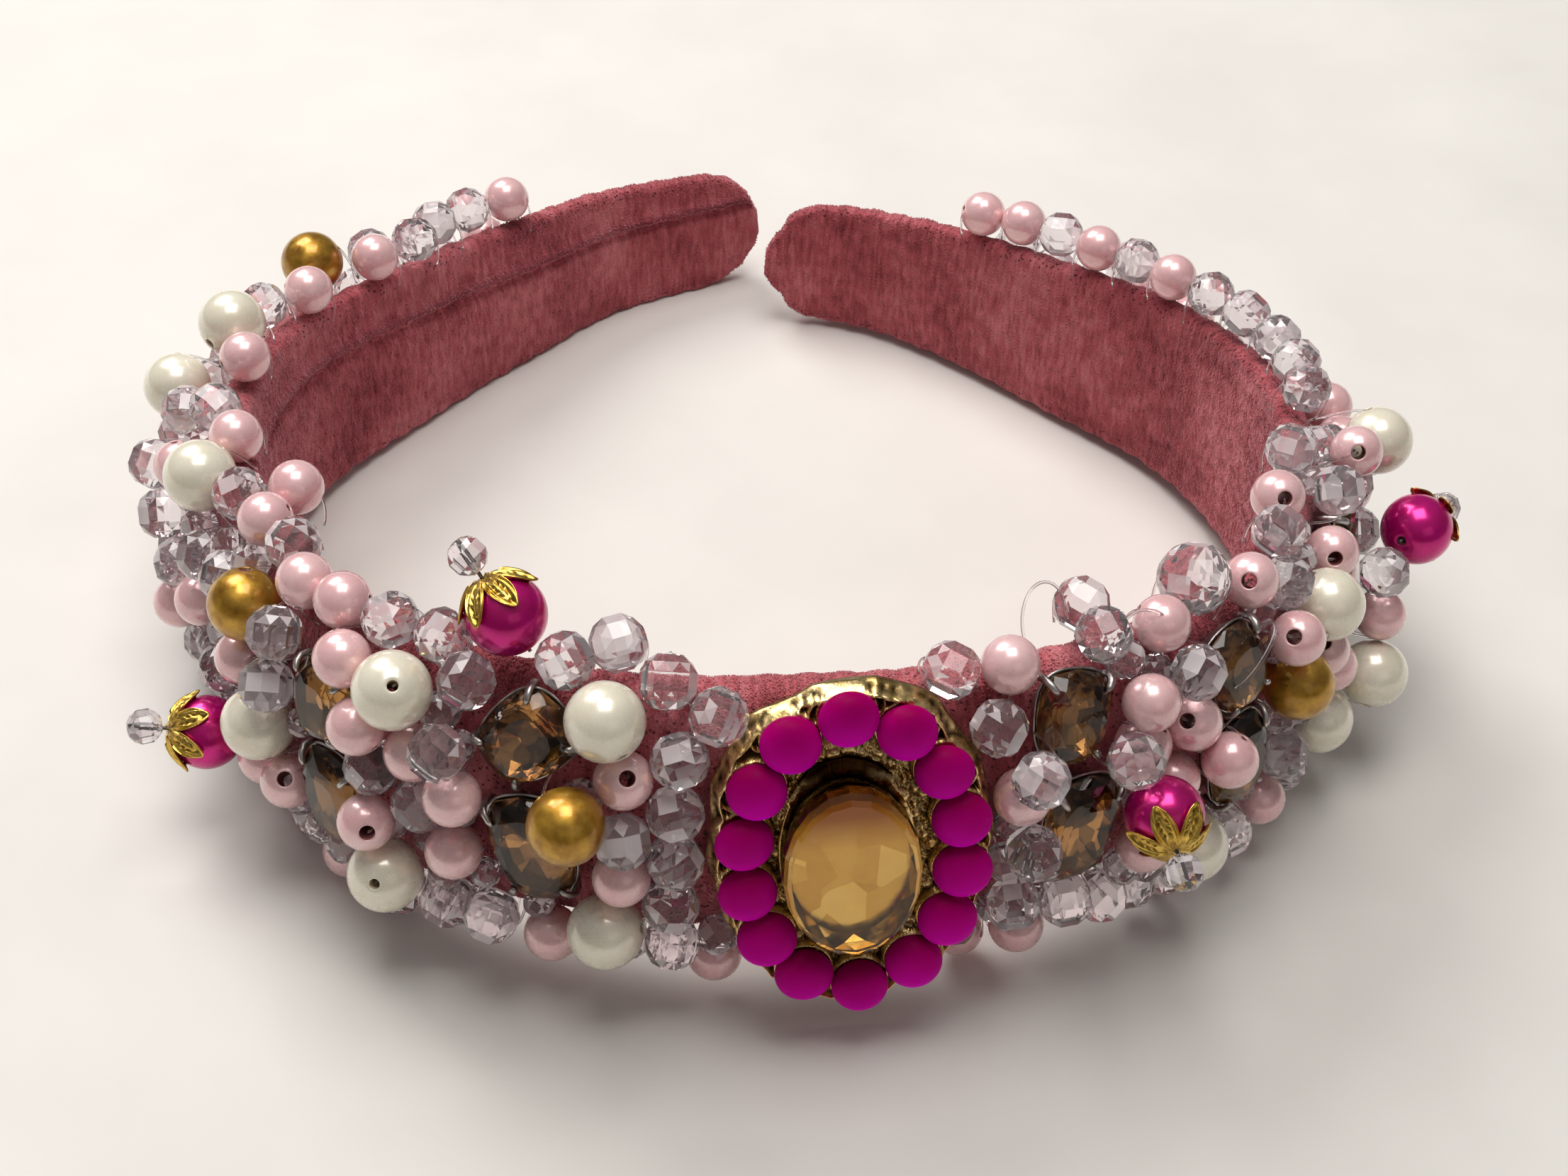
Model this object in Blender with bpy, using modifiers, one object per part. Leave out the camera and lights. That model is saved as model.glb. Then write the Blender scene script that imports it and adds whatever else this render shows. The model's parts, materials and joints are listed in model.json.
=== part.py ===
"""A velvet headband covered with sewn pearls, clear beads, claw-set stones and a gold medallion.

The band lies on one edge: +Z is up, its front faces -Y and its two ends nearly meet at +Y.
A place on the band is given by three lengths. "along" runs round the inner face from the
middle of the front, negative to the left. "across" runs over the outer face from its middle
line, positive upwards. "lift" is the distance from the velvet to the middle of the bead.
"""
import math

import bmesh
import bpy
import numpy as np
from mathutils import Matrix, Vector

# Driving dimensions, in metres
MM = 0.001
GAP = 0.3 * MM
PINK_R = 3.0 * MM
CLEAR_R = 3.0 * MM
BIG_CLEAR_R = 3.9 * MM
CREAM_R = 4.0 * MM
GOLD_R = 3.9 * MM
FUCHSIA_R = 4.1 * MM
TIP_R = 2.0 * MM
CAP_THICK = 0.35 * MM
THREAD_R = 0.45 * MM
CENTRE_STONE_HALF = (7.05 * MM, 10.2 * MM)
CENTRE_STONE_HIGH = 4.6 * MM
CENTRE_STONE_OFF = (-0.5 * MM, -0.3 * MM)
CABOCHON_COUNT = 14
CABOCHON_R = 3.0 * MM
CABOCHON_HIGH = 2.4 * MM
RING_HALF = (11.1 * MM, 16.6 * MM)
RIM_BEYOND = 0.35 * MM
PLATE_THICK = 1.2 * MM
PLATE_BEVEL = 0.5 * MM
PLATE_WAVE = (0.6 * MM, 0.7 * MM)
CUP_HIGH = 1.2 * MM
CUP_R = 2.2 * MM
COLLAR_HIGH = 1.8 * MM
COLLAR_BEYOND = (1.2 * MM, 0.6 * MM)
SUNK = 0.4 * MM
MEDALLION_ALONG = 3.15 * MM
MEDALLION_HIGH = 0.6 * MM
MEDALLION_LEAN = math.radians(6.0)
MEDALLION_TURN = math.radians(3.7)
MEDALLION_OUT = 8.2 * MM
STONE_THICK = 4.2 * MM
PEAR_NARROW = 0.22
PEAR_CORNER = 0.75
CLAW_ANGLES = (45, 135, 225, 315)
CLAW_SHARE = 0.93
CLAW_MIDDLE = 0.40
CLAW_HIGH = 0.62
PRONG_THICK = 0.9 * MM
REST_TILT_X = math.radians(-6.57)
REST_TILT_Y = math.radians(0.17)
REST_PLACE = (-3.53 * MM, 9.92 * MM, 15.38 * MM)

# The inner face seen from above: bearing from the front in degrees, distance in millimetres
PLAN = [
    (-186, 60.5), (-165, 54.0), (-148, 49.6), (-128, 49.4), (-100, 56.8), (-75, 61.2),
    (-42, 65.8), (-20, 65.0), (0, 64.0), (20, 65.4), (40, 67.0), (60, 64.8),
    (80, 62.2), (100, 56.4), (122, 49.1), (145, 48.4), (160, 49.2), (173, 48.6),
]

# Share of the way from the front to an end, half width and thickness in millimetres
TAPER = [
    (0.00, 16.0, 7.0), (0.25, 15.3, 6.6), (0.50, 13.9, 5.6),
    (0.75, 11.5, 4.7), (0.90, 9.4, 4.3), (1.00, 8.6, 4.0),
]

# Beads read by eye from the photograph: kind, along, across, lift, in millimetres
LEFT_BEADS = [
    ("clear", -9.5, 14.5, 3.5), ("clear", -14.5, 15.5, 3.5), ("clear", -13, 11, 3.3),
    ("clear", -13, 5.5, 3.3), ("clear", -13, -0.5, 3.3), ("clear", -13.5, -6.5, 3.3),
    ("clear", -13.5, -12.5, 3.3), ("clear", -17.5, 2.5, 4.5), ("pink", -17.5, -3, 3.3),
    ("pink", -18, 8.5, 3.3), ("clear", -19.5, 20, 3.3), ("clear", -25, 15.5, 3.5),
    ("clear", -31, 14, 3.3), ("clear", -31.5, 10, 3.3), ("pink", -32.5, 4.5, 3.4),
    ("pink", -33, -3, 3.4), ("clear", -30, -9, 3.3), ("clear", -35, -10.5, 3.3),
    ("pink", -25, -14, 3.3), ("pink", -9.5, -16, 3.3), ("clear", -36.5, 16, 3.4),
    ("clear", -42, 16, 3.4), ("pink", -43, 12.5, 3.4), ("pink", -46.5, 16, 3.6),
    ("pink", -51.5, 15.5, 3.4), ("pink", -41, 8.5, 3.3), ("pink", -35.5, 7.5, 3.3),
    ("clear", -41, 4.5, 3.4), ("clear", -36.5, 1, 3.3), ("pink", -40.5, -0.5, 3.6),
    ("clear", -50.5, 11.5, 3.4), ("clear", -49.5, 6.5, 3.4), ("pink", -58.5, 4, 3.6),
    ("pink", -51, -5, 3.4), ("pink", -57.5, -7.5, 3.6), ("clear", -57, 16, 3.4),
    ("pink", -63, 16, 3.4), ("pink", -67, 19.5, 3.3), ("clear", -69.5, 15.5, 3.4),
    ("clear", -64.5, 10.5, 3.4), ("clear", -71, 9, 3.6), ("clear", -79, 4, 4.5),
    ("clear", -83.5, 6.5, 4.2), ("clear", -88.5, 8, 4.6), ("pink", -72, 3, 3.6),
    ("pink", -79, -2, 5), ("pink", -80, 16, 3.4), ("clear", -87, 15, 3.4),
    ("clear", -92, 12, 3.4), ("pink", -97.5, 17, 3.4), ("clear", -111, 13.5, 3.4),
    ("pink", -115.5, 15.5, 3.4), ("pink", -127.5, 15, 3.3), ("clear", -131, 11.5, 3.4),
    ("clear", -134.5, 14, 3.4), ("clear", -140, 12.5, 3.4), ("clear", -146, 12, 3.4),
    ("pink", -152, 12, 3.4), ("clear", -66, -3, 3.3),
]
RIGHT_BEADS = [
    ("clear", 12, 16, 3.5), ("pink", 18, 16, 3.8), ("clear", 15.5, 12, 3.3),
    ("clear", 20, 9.5, 4.8), ("pink", 17.5, 4, 3.3), ("clear", 20, 0, 4.5),
    ("clear", 20, -8, 3.5), ("clear", 27, 16, 3.5), ("clear", 28, 21, 3.4),
    ("pink", 34.5, 15.5, 3.6), ("pink", 30, 12, 3.4), ("clear", 35.5, 12, 3.4),
    ("big_clear", 40.5, 17, 4.6), ("pink", 45, 15.5, 3.6), ("pink", 31.5, 7.5, 3.3),
    ("clear", 26.5, 9, 6.5), ("pink", 36.5, 7.5, 3.6), ("pink", 39, 4, 3.6),
    ("pink", 35, 1.5, 3.3), ("pink", 30, -6, 3.3), ("clear", 25, -12, 3.3),
    ("pink", 21, -15, 3.5), ("pink", 16, -17, 3.5), ("clear", 30, -14, 3.4),
    ("clear", 35, -15.5, 3.6), ("clear", 40, -16, 4.5), ("clear", 45.5, -13, 3.8),
    ("pink", 50, -12, 3.8), ("clear", 49, -5.5, 3.4), ("clear", 55, -11.5, 3.8),
    ("clear", 49.5, 13.5, 3.4), ("clear", 55, 16, 3.4), ("pink", 61, 17, 3.4),
    ("pink", 61.5, 11.5, 3.4), ("pink", 46.5, 11, 3.4), ("pink", 56.5, 3.5, 4),
    ("pink", 62, -2.5, 4), ("clear", 67, 13, 3.4), ("clear", 71.5, 17, 3.4),
    ("pink", 75, 13, 5), ("clear", 76, 9.5, 3.6), ("clear", 75, 7, 5.4),
    ("clear", 71.5, 6, 8), ("pink", 69, -0.5, 7), ("clear", 86, 15, 3.4),
    ("pink", 90, 10, 3.3), ("clear", 92, 14.5, 3.3), ("clear", 98, 14, 3.3),
    ("clear", 104, 14, 3.3), ("clear", 110, 14, 3.3), ("pink", 116, 14, 3.3),
    ("clear", 122, 13.5, 3.3), ("pink", 128, 13, 3.3), ("clear", 134, 12.5, 3.3),
    ("pink", 140, 12, 3.3), ("pink", 146, 12, 3.3),
]

# Pearls that are pieces of their own: kind, along, across, lift, in millimetres
MAIN_PEARLS = [
    ("cream", -19, 14, 4.6), ("cream", -19.2, -9.8, 3.8), ("cream", -38, 12.5, 4.8),
    ("cream", -39.5, -7, 4.4), ("cream", -54, 0, 4.4), ("cream", 38, -8, 4.3),
    ("cream", 55, 10, 4.8), ("cream", 61, -8.5, 4.8), ("gold", -20.5, 6.5, 7.5),
    ("gold", -57, 11.5, 4.3), ("gold", -122.5, 12, 5), ("gold", 50, 4, 4.2),
]

# Large pearls farther round, which belong to the fields: kind, along, across, lift
SIDE_PEARLS = [
    ("cream", -75, 14, 4.6), ("cream", -104, 14, 4.8), ("cream", -100, 9.5, 4.4),
    ("cream", 81.5, 10.5, 5.8), ("cream", 67, -6, 7.5),
]

# Drop pearls: along, across, lift in millimetres, then the way that the cap points
# as shares of along, across and out
DROPS = [
    (-29.5, 17, 6, (-0.53, 0.24, 0.79)), (-63, -6, 7.2, (-0.1, 0.44, 0.77)),
    (29, 2.5, 6.5, (-0.25, -0.21, 0.87)), (73.5, 6.5, 9, (1.0, -0.16, 0.45)),
]

# Claw-set stones: along, across, lift of the seat, half width, half height, turn in degrees
STONES = [
    (-26.5, 11, 0.3, 4.9, 5.2, -45), (-26, -2, 0.3, 5.0, 6.9, 10),
    (-46, 7.8, 0.3, 4.3, 4.8, 0), (-45.5, -3.9, 0.3, 4.5, 6.3, 0),
    (23.5, 11.6, 0.3, 4.6, 5.1, -10), (25, -2, 0.3, 4.8, 7.0, -5),
    (42, 10.3, 0.3, 4.6, 5.1, 15), (43.5, -2, 0.3, 4.6, 6.5, 10),
    (69.5, 8.9, 0.3, 4.3, 4.8, 0), (67.5, -3, 0.3, 4.3, 6.3, 0),
]

# Fill where the photograph doesn't reach: first and last along, then the rows under the
# top row, which lies a little beyond half the band's width
FILL_STRETCHES = [(-152, -82), (80, 148)]
FILL_ROW_COUNT = 4
FILL_TOP_BEYOND = 1.6
FILL_ROW_STEP = 6.6
FILL_STEP = 7.2
FILL_SWAY = 0.9
LOW_STRETCHES = [(-78, -38), (58, 76)]
LOW_ROW = -15.5
FILL_LOWEST = 1.5
FILL_LIFT = 3.4
FILL_KINDS = ["pink", "clear", "clear", "pink", "clear"]
SOLID_CLEAR_ABOVE = 13.8
SOLID_CLEAR_LIFT = 4.5
SOLID_FILL_EVERY = 3

# Room kept round the stones and the medallion while the beads settle
STONE_GUARD_SHARE = 0.6
STONE_GUARD_LIFT = 0.45
STONE_GUARD_ROOM = 0.5 * MM
MEDALLION_GUARDS = 36
MEDALLION_GUARD_IN = 2.0 * MM
MEDALLION_GUARD_R = 2.6 * MM
MEDALLION_GUARD_DEPTHS = (0.5 * MM, 3.0 * MM)
FIELD_ROOM = 0.10 * MM
OWN_ROOM = 0.40 * MM
LARGE_BEAD_R = 3.5 * MM
SMALL_GIVES = 0.5
LARGE_GIVES = 0.25
PUSH = 0.6
GUARD_PUSH = 0.3

RADII = {
    "pink": PINK_R, "clear": CLEAR_R, "big_clear": BIG_CLEAR_R, "cream": CREAM_R,
    "gold": GOLD_R, "fuchsia": FUCHSIA_R,
}
COLOURS = {
    "velvet": ((0.42, 0.13, 0.17), 0.9, 0.0),
    "gold_metal": ((0.75, 0.53, 0.22), 0.3, 1.0),
    "champagne_glass": ((0.62, 0.45, 0.22), 0.05, 0.0),
    "magenta_stone": ((0.45, 0.0, 0.25), 0.5, 0.0),
    "smoky_glass": ((0.22, 0.15, 0.09), 0.05, 0.0),
    "fuchsia_pearl": ((0.60, 0.01, 0.30), 0.25, 0.0),
    "clear_bead": ((0.85, 0.80, 0.84), 0.05, 0.0),
    "gold_pearl": ((0.55, 0.38, 0.12), 0.25, 0.0),
    "cream_pearl": ((0.80, 0.76, 0.66), 0.25, 0.0),
    "pink_pearl": ((0.82, 0.62, 0.64), 0.25, 0.0),
}

# Fineness of the solids
PLAN_STEPS_PER_KNOT = 24
STATION_STEP = 8.0 * MM
BEAD_SIDES = 10
PEARL_RINGS = 5
TIP_RINGS = 4
BEAD_RINGS = {"pink": 4, "cream": 4, "clear": 3, "big_clear": 3}
RIM_ANGLES = [-75, -45, -15, 15, 45, 75]
INNER_EDGE_SHARE = 0.90
END_INSETS = (0.4 * MM, 2.0 * MM, 4.5 * MM)
END_THICK_SHARE = 0.35
OUT_POWER = 0.55
HIGH_POWER = 0.90
SECTION_STEPS = 120
SLOPE_STEP = 0.6 * MM
SETTLE_ROUNDS = 220
VELVET_SAMPLE_STEP = 1.5 * MM
PLATE_SIDES = 56
COLLAR_SIDES = 24
CUP_SIDES = 8
STONE_SIDES = 16
OVAL_STEPS = 720

# Profiles as share of the width and share of the height, from the back to the face
CABOCHON_PROFILE = [(0.96, 0.0), (1.0, 0.25), (0.72, 0.75), (0.34, 1.0)]
CENTRE_STONE_CUT = [(0.93, 0.0), (1.0, 0.28), (1.0, 0.42), (0.84, 0.72), (0.60, 1.0)]
SMOKY_STONE_CUT = [(0.80, 0.0), (1.0, 0.45), (0.94, 0.60), (0.55, 1.0)]

# A bead cap's two rings: how far the petals and the valleys reach, in degrees from its top
CAP_PETALS = 6
CAP_RINGS = [(28, 28), (70, 42)]


def clear_scene():
    """Remove the objects that a new file starts with."""
    for old in list(bpy.data.objects):
        bpy.data.objects.remove(old, do_unlink=True)


def make_materials():
    """One plain material for each finish."""
    made = {}
    for name, (colour, roughness, metallic) in COLOURS.items():
        material = bpy.data.materials.new(name)
        material.use_nodes = True
        shader = material.node_tree.nodes["Principled BSDF"]
        shader.inputs["Base Color"].default_value = (*colour, 1.0)
        shader.inputs["Roughness"].default_value = roughness
        shader.inputs["Metallic"].default_value = metallic
        made[name] = material
    return made


# Where things lie on the band

def smooth_plan():
    """A smooth curve through the rows of PLAN, with its length from the middle of the front."""
    knots = [(r * math.sin(math.radians(t)), -r * math.cos(math.radians(t))) for t, r in PLAN]
    knots = np.array(knots) * MM
    knots = np.vstack([2 * knots[0] - knots[1], knots, 2 * knots[-1] - knots[-2]])
    points = []
    for before, start, end, after in zip(knots, knots[1:], knots[2:], knots[3:]):
        for step in range(PLAN_STEPS_PER_KNOT):
            t = step / PLAN_STEPS_PER_KNOT
            points.append(0.5 * (2 * start + (end - before) * t
                                 + (2 * before - 5 * start + 4 * end - after) * t ** 2
                                 + (3 * start - before - 3 * end + after) * t ** 3))
    points.append(knots[-2])
    points = np.array(points)
    runs = np.concatenate([[0], np.cumsum(np.hypot(*np.diff(points, axis=0).T))])
    front = int(np.argmin(np.hypot(points[:, 0], points[:, 1] + PLAN[8][1] * MM)))
    return points, runs - runs[front]


PLAN_POINTS, PLAN_RUNS = smooth_plan()
LEFT_END, RIGHT_END = PLAN_RUNS[0], PLAN_RUNS[-1]


def on_plan(along):
    """Point of the inner face seen from above, and the way out of the ring there."""
    def point(run):
        return np.array([np.interp(run, PLAN_RUNS, PLAN_POINTS[:, k]) for k in (0, 1)])
    ahead = point(along + MM) - point(along - MM)
    ahead /= np.hypot(*ahead)
    return point(along), np.array([ahead[1], -ahead[0]])


def band_size(along):
    """Half width and thickness of the band at a place along it."""
    share = along / (LEFT_END if along < 0 else RIGHT_END)
    shares, halves, thicks = zip(*TAPER)
    return np.interp(share, shares, halves) * MM, np.interp(share, shares, thicks) * MM


def rim_point(half, thick, angle):
    """Point of the outer section: how far out and how high, for an angle from its middle."""
    sine = math.sin(angle)
    out = thick * max(math.cos(angle), 0.0) ** OUT_POWER
    return out, half * math.copysign(abs(sine) ** HIGH_POWER, sine)


def section_curve(along):
    """The outer section as out, high and run, the length from its middle line."""
    half, thick = band_size(along)
    angles = np.linspace(-math.pi / 2, math.pi / 2, SECTION_STEPS + 1)
    curve = np.array([rim_point(half, thick, a) for a in angles])
    runs = np.concatenate([[0], np.cumsum(np.hypot(*np.diff(curve, axis=0).T))])
    return curve, runs - runs[SECTION_STEPS // 2]


def on_velvet(along, across):
    """Point of the outer face and its normal, in the band's own frame."""
    curve, runs = section_curve(along)
    across = min(max(across, runs[1]), runs[-2])
    def point(run):
        return np.array([np.interp(run, runs, curve[:, k]) for k in (0, 1)])
    up = point(across + SLOPE_STEP) - point(across - SLOPE_STEP)
    up /= np.hypot(*up)
    foot, out = on_plan(along)
    reach, high = point(across)
    place = np.array([*(foot + out * reach), high])
    normal = np.array([out[0] * up[1], out[1] * up[1], -up[0]])
    return place, normal


def bead_place(along, across, lift):
    """Middle of a bead, from three lengths in millimetres."""
    place, normal = on_velvet(along * MM, across * MM)
    return place + normal * lift * MM


def local_frame(along, across):
    """Matrix whose X runs along the band, Y up across it and Z out of the velvet."""
    place, normal = on_velvet(along * MM, across * MM)
    _, out = on_plan(along * MM)
    ahead = Vector((-out[1], out[0], 0.0))
    normal = Vector(normal).normalized()
    up = normal.cross(ahead).normalized()
    frame = Matrix((ahead, up, normal)).transposed().to_4x4()
    frame.translation = Vector(place)
    return frame


# Settling the beads so that none cuts into another

def fill_beads():
    """Rows of beads on the stretches that the photograph hides."""
    beads = []
    for first, last in FILL_STRETCHES:
        for row in range(FILL_ROW_COUNT):
            along = first + (row % 2) * FILL_STEP / 2
            while along <= last:
                half = band_size(along * MM)[0] / MM
                across = half + FILL_TOP_BEYOND - (row + 1) * FILL_ROW_STEP
                if across > FILL_LOWEST - half:
                    kind = FILL_KINDS[(len(beads) * 2 + row) % len(FILL_KINDS)]
                    sway = FILL_SWAY * math.sin(2.3 * len(beads))
                    beads.append((kind, along + sway, across - sway, FILL_LIFT))
                along += FILL_STEP
    for first, last in LOW_STRETCHES:
        along = first
        while along <= last:
            kind = FILL_KINDS[len(beads) % len(FILL_KINDS)]
            beads.append((kind, along, LOW_ROW, FILL_LIFT))
            along += FILL_STEP
    return beads


def medallion_frame():
    """Matrix whose X and Y lie in the medallion's back and whose Z points out of its face."""
    foot, out = on_plan(MEDALLION_ALONG)
    outward = Vector((out[0], out[1], 0.0))
    ahead = Vector((-out[1], out[0], 0.0))
    normal = outward * math.cos(MEDALLION_LEAN) + Vector((0, 0, 1)) * math.sin(MEDALLION_LEAN)
    up = normal.cross(ahead)
    frame = Matrix((ahead, up, normal)).transposed().to_4x4()
    frame.translation = Vector((foot[0], foot[1], MEDALLION_HIGH)) + outward * MEDALLION_OUT
    return frame @ Matrix.Rotation(MEDALLION_TURN, 4, "Z")


def stone_guards():
    """Fixed spheres that keep beads out of the claw-set stones: places and radii."""
    guards = []
    for along, across, seat, half_wide, half_high, turn in STONES:
        frame = local_frame(along, across) @ Matrix.Rotation(math.radians(turn), 4, "Z")
        radius = half_wide * MM * STONE_GUARD_SHARE
        beside, above = half_wide * MM - radius, half_high * MM - radius
        high = seat * MM + STONE_GUARD_LIFT * STONE_THICK
        for share in (-1, 0, 1):
            for side in (-1, 1):
                spot = frame @ Vector((side * beside, share * above, high))
                guards.append((spot, radius + STONE_GUARD_ROOM))
    return guards


def medallion_guards():
    """Fixed spheres round the medallion's edge and under its lower end."""
    frame = medallion_frame()
    guards = []
    beyond = CABOCHON_R - MEDALLION_GUARD_IN
    for step in range(MEDALLION_GUARDS):
        angle = 2 * math.pi * step / MEDALLION_GUARDS
        x = (RING_HALF[0] + beyond) * math.cos(angle)
        y = (RING_HALF[1] + beyond) * math.sin(angle)
        for depth in MEDALLION_GUARD_DEPTHS:
            guards.append((frame @ Vector((x, y, depth)), MEDALLION_GUARD_R))
    return guards


def velvet_samples():
    """Points and normals of the outer face, close enough to measure a bead's clearance."""
    places, normals = [], []
    for along in np.arange(LEFT_END + MM, RIGHT_END, VELVET_SAMPLE_STEP):
        _, runs = section_curve(along)
        for across in np.arange(runs[1], runs[-2], VELVET_SAMPLE_STEP):
            place, normal = on_velvet(along, across)
            places.append(place)
            normals.append(normal)
    return np.array(places), np.array(normals)


def settle(kinds, places, owners, guards):
    """Push beads apart and off the velvet. Beads with one owner may come closer together."""
    velvet, normals = velvet_samples()
    radii = np.array([RADII[kind] for kind in kinds])
    guard_places = np.array([place for place, _ in guards])
    guard_radii = np.array([radius for _, radius in guards])
    count = len(places)
    same = np.array([[owners[i] == owners[j] for j in range(count)] for i in range(count)])
    need = radii[:, None] + radii[None, :] + np.where(same, FIELD_ROOM, OWN_ROOM)
    weight = np.where(radii > LARGE_BEAD_R, LARGE_GIVES, SMALL_GIVES)
    share = weight[:, None] / (weight[:, None] + weight[None, :])
    for _ in range(SETTLE_ROUNDS):
        between = places[:, None, :] - places[None, :, :]
        far = np.linalg.norm(between, axis=2) + np.eye(count)
        short = np.clip(need - far, 0, None) * (1 - np.eye(count))
        push = (between / far[..., None] * (short * share)[..., None]).sum(axis=1)
        places = places + push * PUSH
        away = places[:, None, :] - guard_places[None, :, :]
        far = np.linalg.norm(away, axis=2)
        short = np.clip(radii[:, None] + guard_radii[None, :] - far, 0, None)
        push = away / far[..., None] * short[..., None]
        places = places + (push.max(axis=1) + push.min(axis=1)) * GUARD_PUSH
        for i in range(count):
            nearest = np.argmin(((velvet - places[i]) ** 2).sum(axis=1))
            clear = (places[i] - velvet[nearest]) @ normals[nearest]
            if clear < radii[i] + GAP:
                places[i] += normals[nearest] * (radii[i] + GAP - clear)
    return places


# Mesh helpers

def link_new(name, mesh, material):
    """Put a mesh in the headband's collection as an object."""
    item = bpy.data.objects.new(name, mesh)
    bpy.data.collections["beaded_headband"].objects.link(item)
    if material:
        mesh.materials.clear()
        mesh.materials.append(material)
    return item


def mesh_of(builder):
    """A mesh filled in by a function that is given an empty bmesh."""
    work = bmesh.new()
    builder(work)
    bmesh.ops.recalc_face_normals(work, faces=work.faces)
    mesh = bpy.data.meshes.new("shape")
    work.to_mesh(mesh)
    work.free()
    return mesh


def bead_mesh(radius, rings):
    """A round bead of BEAD_SIDES sides."""
    def build(work):
        bmesh.ops.create_uvsphere(work, u_segments=BEAD_SIDES, v_segments=rings, radius=radius)
    return mesh_of(build)


def rings_mesh(rings):
    """A closed loft through rings of points, which all have the same count."""
    def build(work):
        loops = [[work.verts.new(point) for point in ring] for ring in rings]
        count = len(loops[0])
        for low, high in zip(loops, loops[1:]):
            for i in range(count):
                j = (i + 1) % count
                work.faces.new((low[i], low[j], high[j], high[i]))
        work.faces.new(loops[0][::-1])
        work.faces.new(loops[-1])
    return mesh_of(build)


def evaluated_mesh(item):
    """The mesh of an object with its modifiers applied."""
    graph = bpy.context.evaluated_depsgraph_get()
    return bpy.data.meshes.new_from_object(item.evaluated_get(graph))


def fuse(name, pieces, material):
    """Join overlapping closed pieces into one body with a Boolean union."""
    body, rest = pieces[0], pieces[1:]
    group = bpy.data.collections.new(name + "_pieces")
    bpy.context.scene.collection.children.link(group)
    for piece in rest:
        group.objects.link(piece)
    union = body.modifiers.new("union", "BOOLEAN")
    union.operation = "UNION"
    union.operand_type = "COLLECTION"
    union.collection = group
    bpy.context.view_layer.update()
    mesh = evaluated_mesh(body)
    mesh.transform(body.matrix_world)
    for piece in pieces:
        bpy.data.objects.remove(piece, do_unlink=True)
    bpy.data.collections.remove(group)
    mesh.name = name
    return link_new(name, mesh, material)


def thread_piece(start, end):
    """A short stretch of thread between two bead middles."""
    start, end = Vector(start), Vector(end)
    run = end - start
    def build(work):
        turn = run.to_track_quat("Z", "Y").to_matrix().to_4x4()
        place = Matrix.Translation((start + end) / 2) @ turn
        bmesh.ops.create_cone(work, cap_ends=True, segments=5, radius1=THREAD_R,
                              radius2=THREAD_R, depth=run.length, matrix=place)
    return link_new("thread", mesh_of(build), None)


# The pieces

def end_rounding(along, half):
    """Share of the full section that is left near a rounded end."""
    left = min(along - LEFT_END, RIGHT_END - along)
    if left >= half:
        return 1.0
    return math.sqrt(max(1 - (1 - left / half) ** 2, 0.0))


def make_band(material):
    """The padded velvet band, lofted through sections along its plan curve."""
    count = round((RIGHT_END - LEFT_END) / STATION_STEP)
    stations = list(np.linspace(LEFT_END, RIGHT_END, count + 1)[1:-1])
    for inset in END_INSETS:
        stations += [LEFT_END + inset, RIGHT_END - inset]
    rings = []
    for along in sorted(stations):
        half, thick = band_size(along)
        share = end_rounding(along, half)
        half, thick = half * share, thick * (END_THICK_SHARE + (1 - END_THICK_SHARE) * share)
        foot, out = on_plan(along)
        outline = [(0.0, half * INNER_EDGE_SHARE), (0.0, -half * INNER_EDGE_SHARE)]
        outline += [rim_point(half, thick, math.radians(angle)) for angle in RIM_ANGLES]
        rings.append([(*(foot + out * reach), high) for reach, high in outline])
    link_new("velvet_band", rings_mesh(rings), material)


def oval_ring_places():
    """Middles of the round stones, evenly spaced round an oval from its top."""
    angles = np.linspace(0, 2 * math.pi, OVAL_STEPS + 1)
    oval = np.array([(RING_HALF[0] * math.sin(a), RING_HALF[1] * math.cos(a)) for a in angles])
    runs = np.concatenate([[0], np.cumsum(np.hypot(*np.diff(oval, axis=0).T))])
    wanted = np.arange(CABOCHON_COUNT) * runs[-1] / CABOCHON_COUNT
    return [(np.interp(w, runs, oval[:, 0]), np.interp(w, runs, oval[:, 1])) for w in wanted]


def oval(half, beyond, low, steps, lobes=0, depth=0.0):
    """Points round an oval, which may be scalloped with lobes that point outward."""
    points = []
    for step in range(steps):
        angle = 2 * math.pi * step / steps
        wave = depth * abs(math.cos(lobes * angle / 2)) if lobes else 0.0
        points.append(((half[0] + beyond + wave) * math.sin(angle),
                       (half[1] + beyond + wave) * math.cos(angle), low))
    return points


def placed(mesh, frame, name="piece", material=None):
    """An object of a mesh whose points are moved by a frame."""
    mesh.transform(frame)
    return link_new(name, mesh, material)


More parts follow.
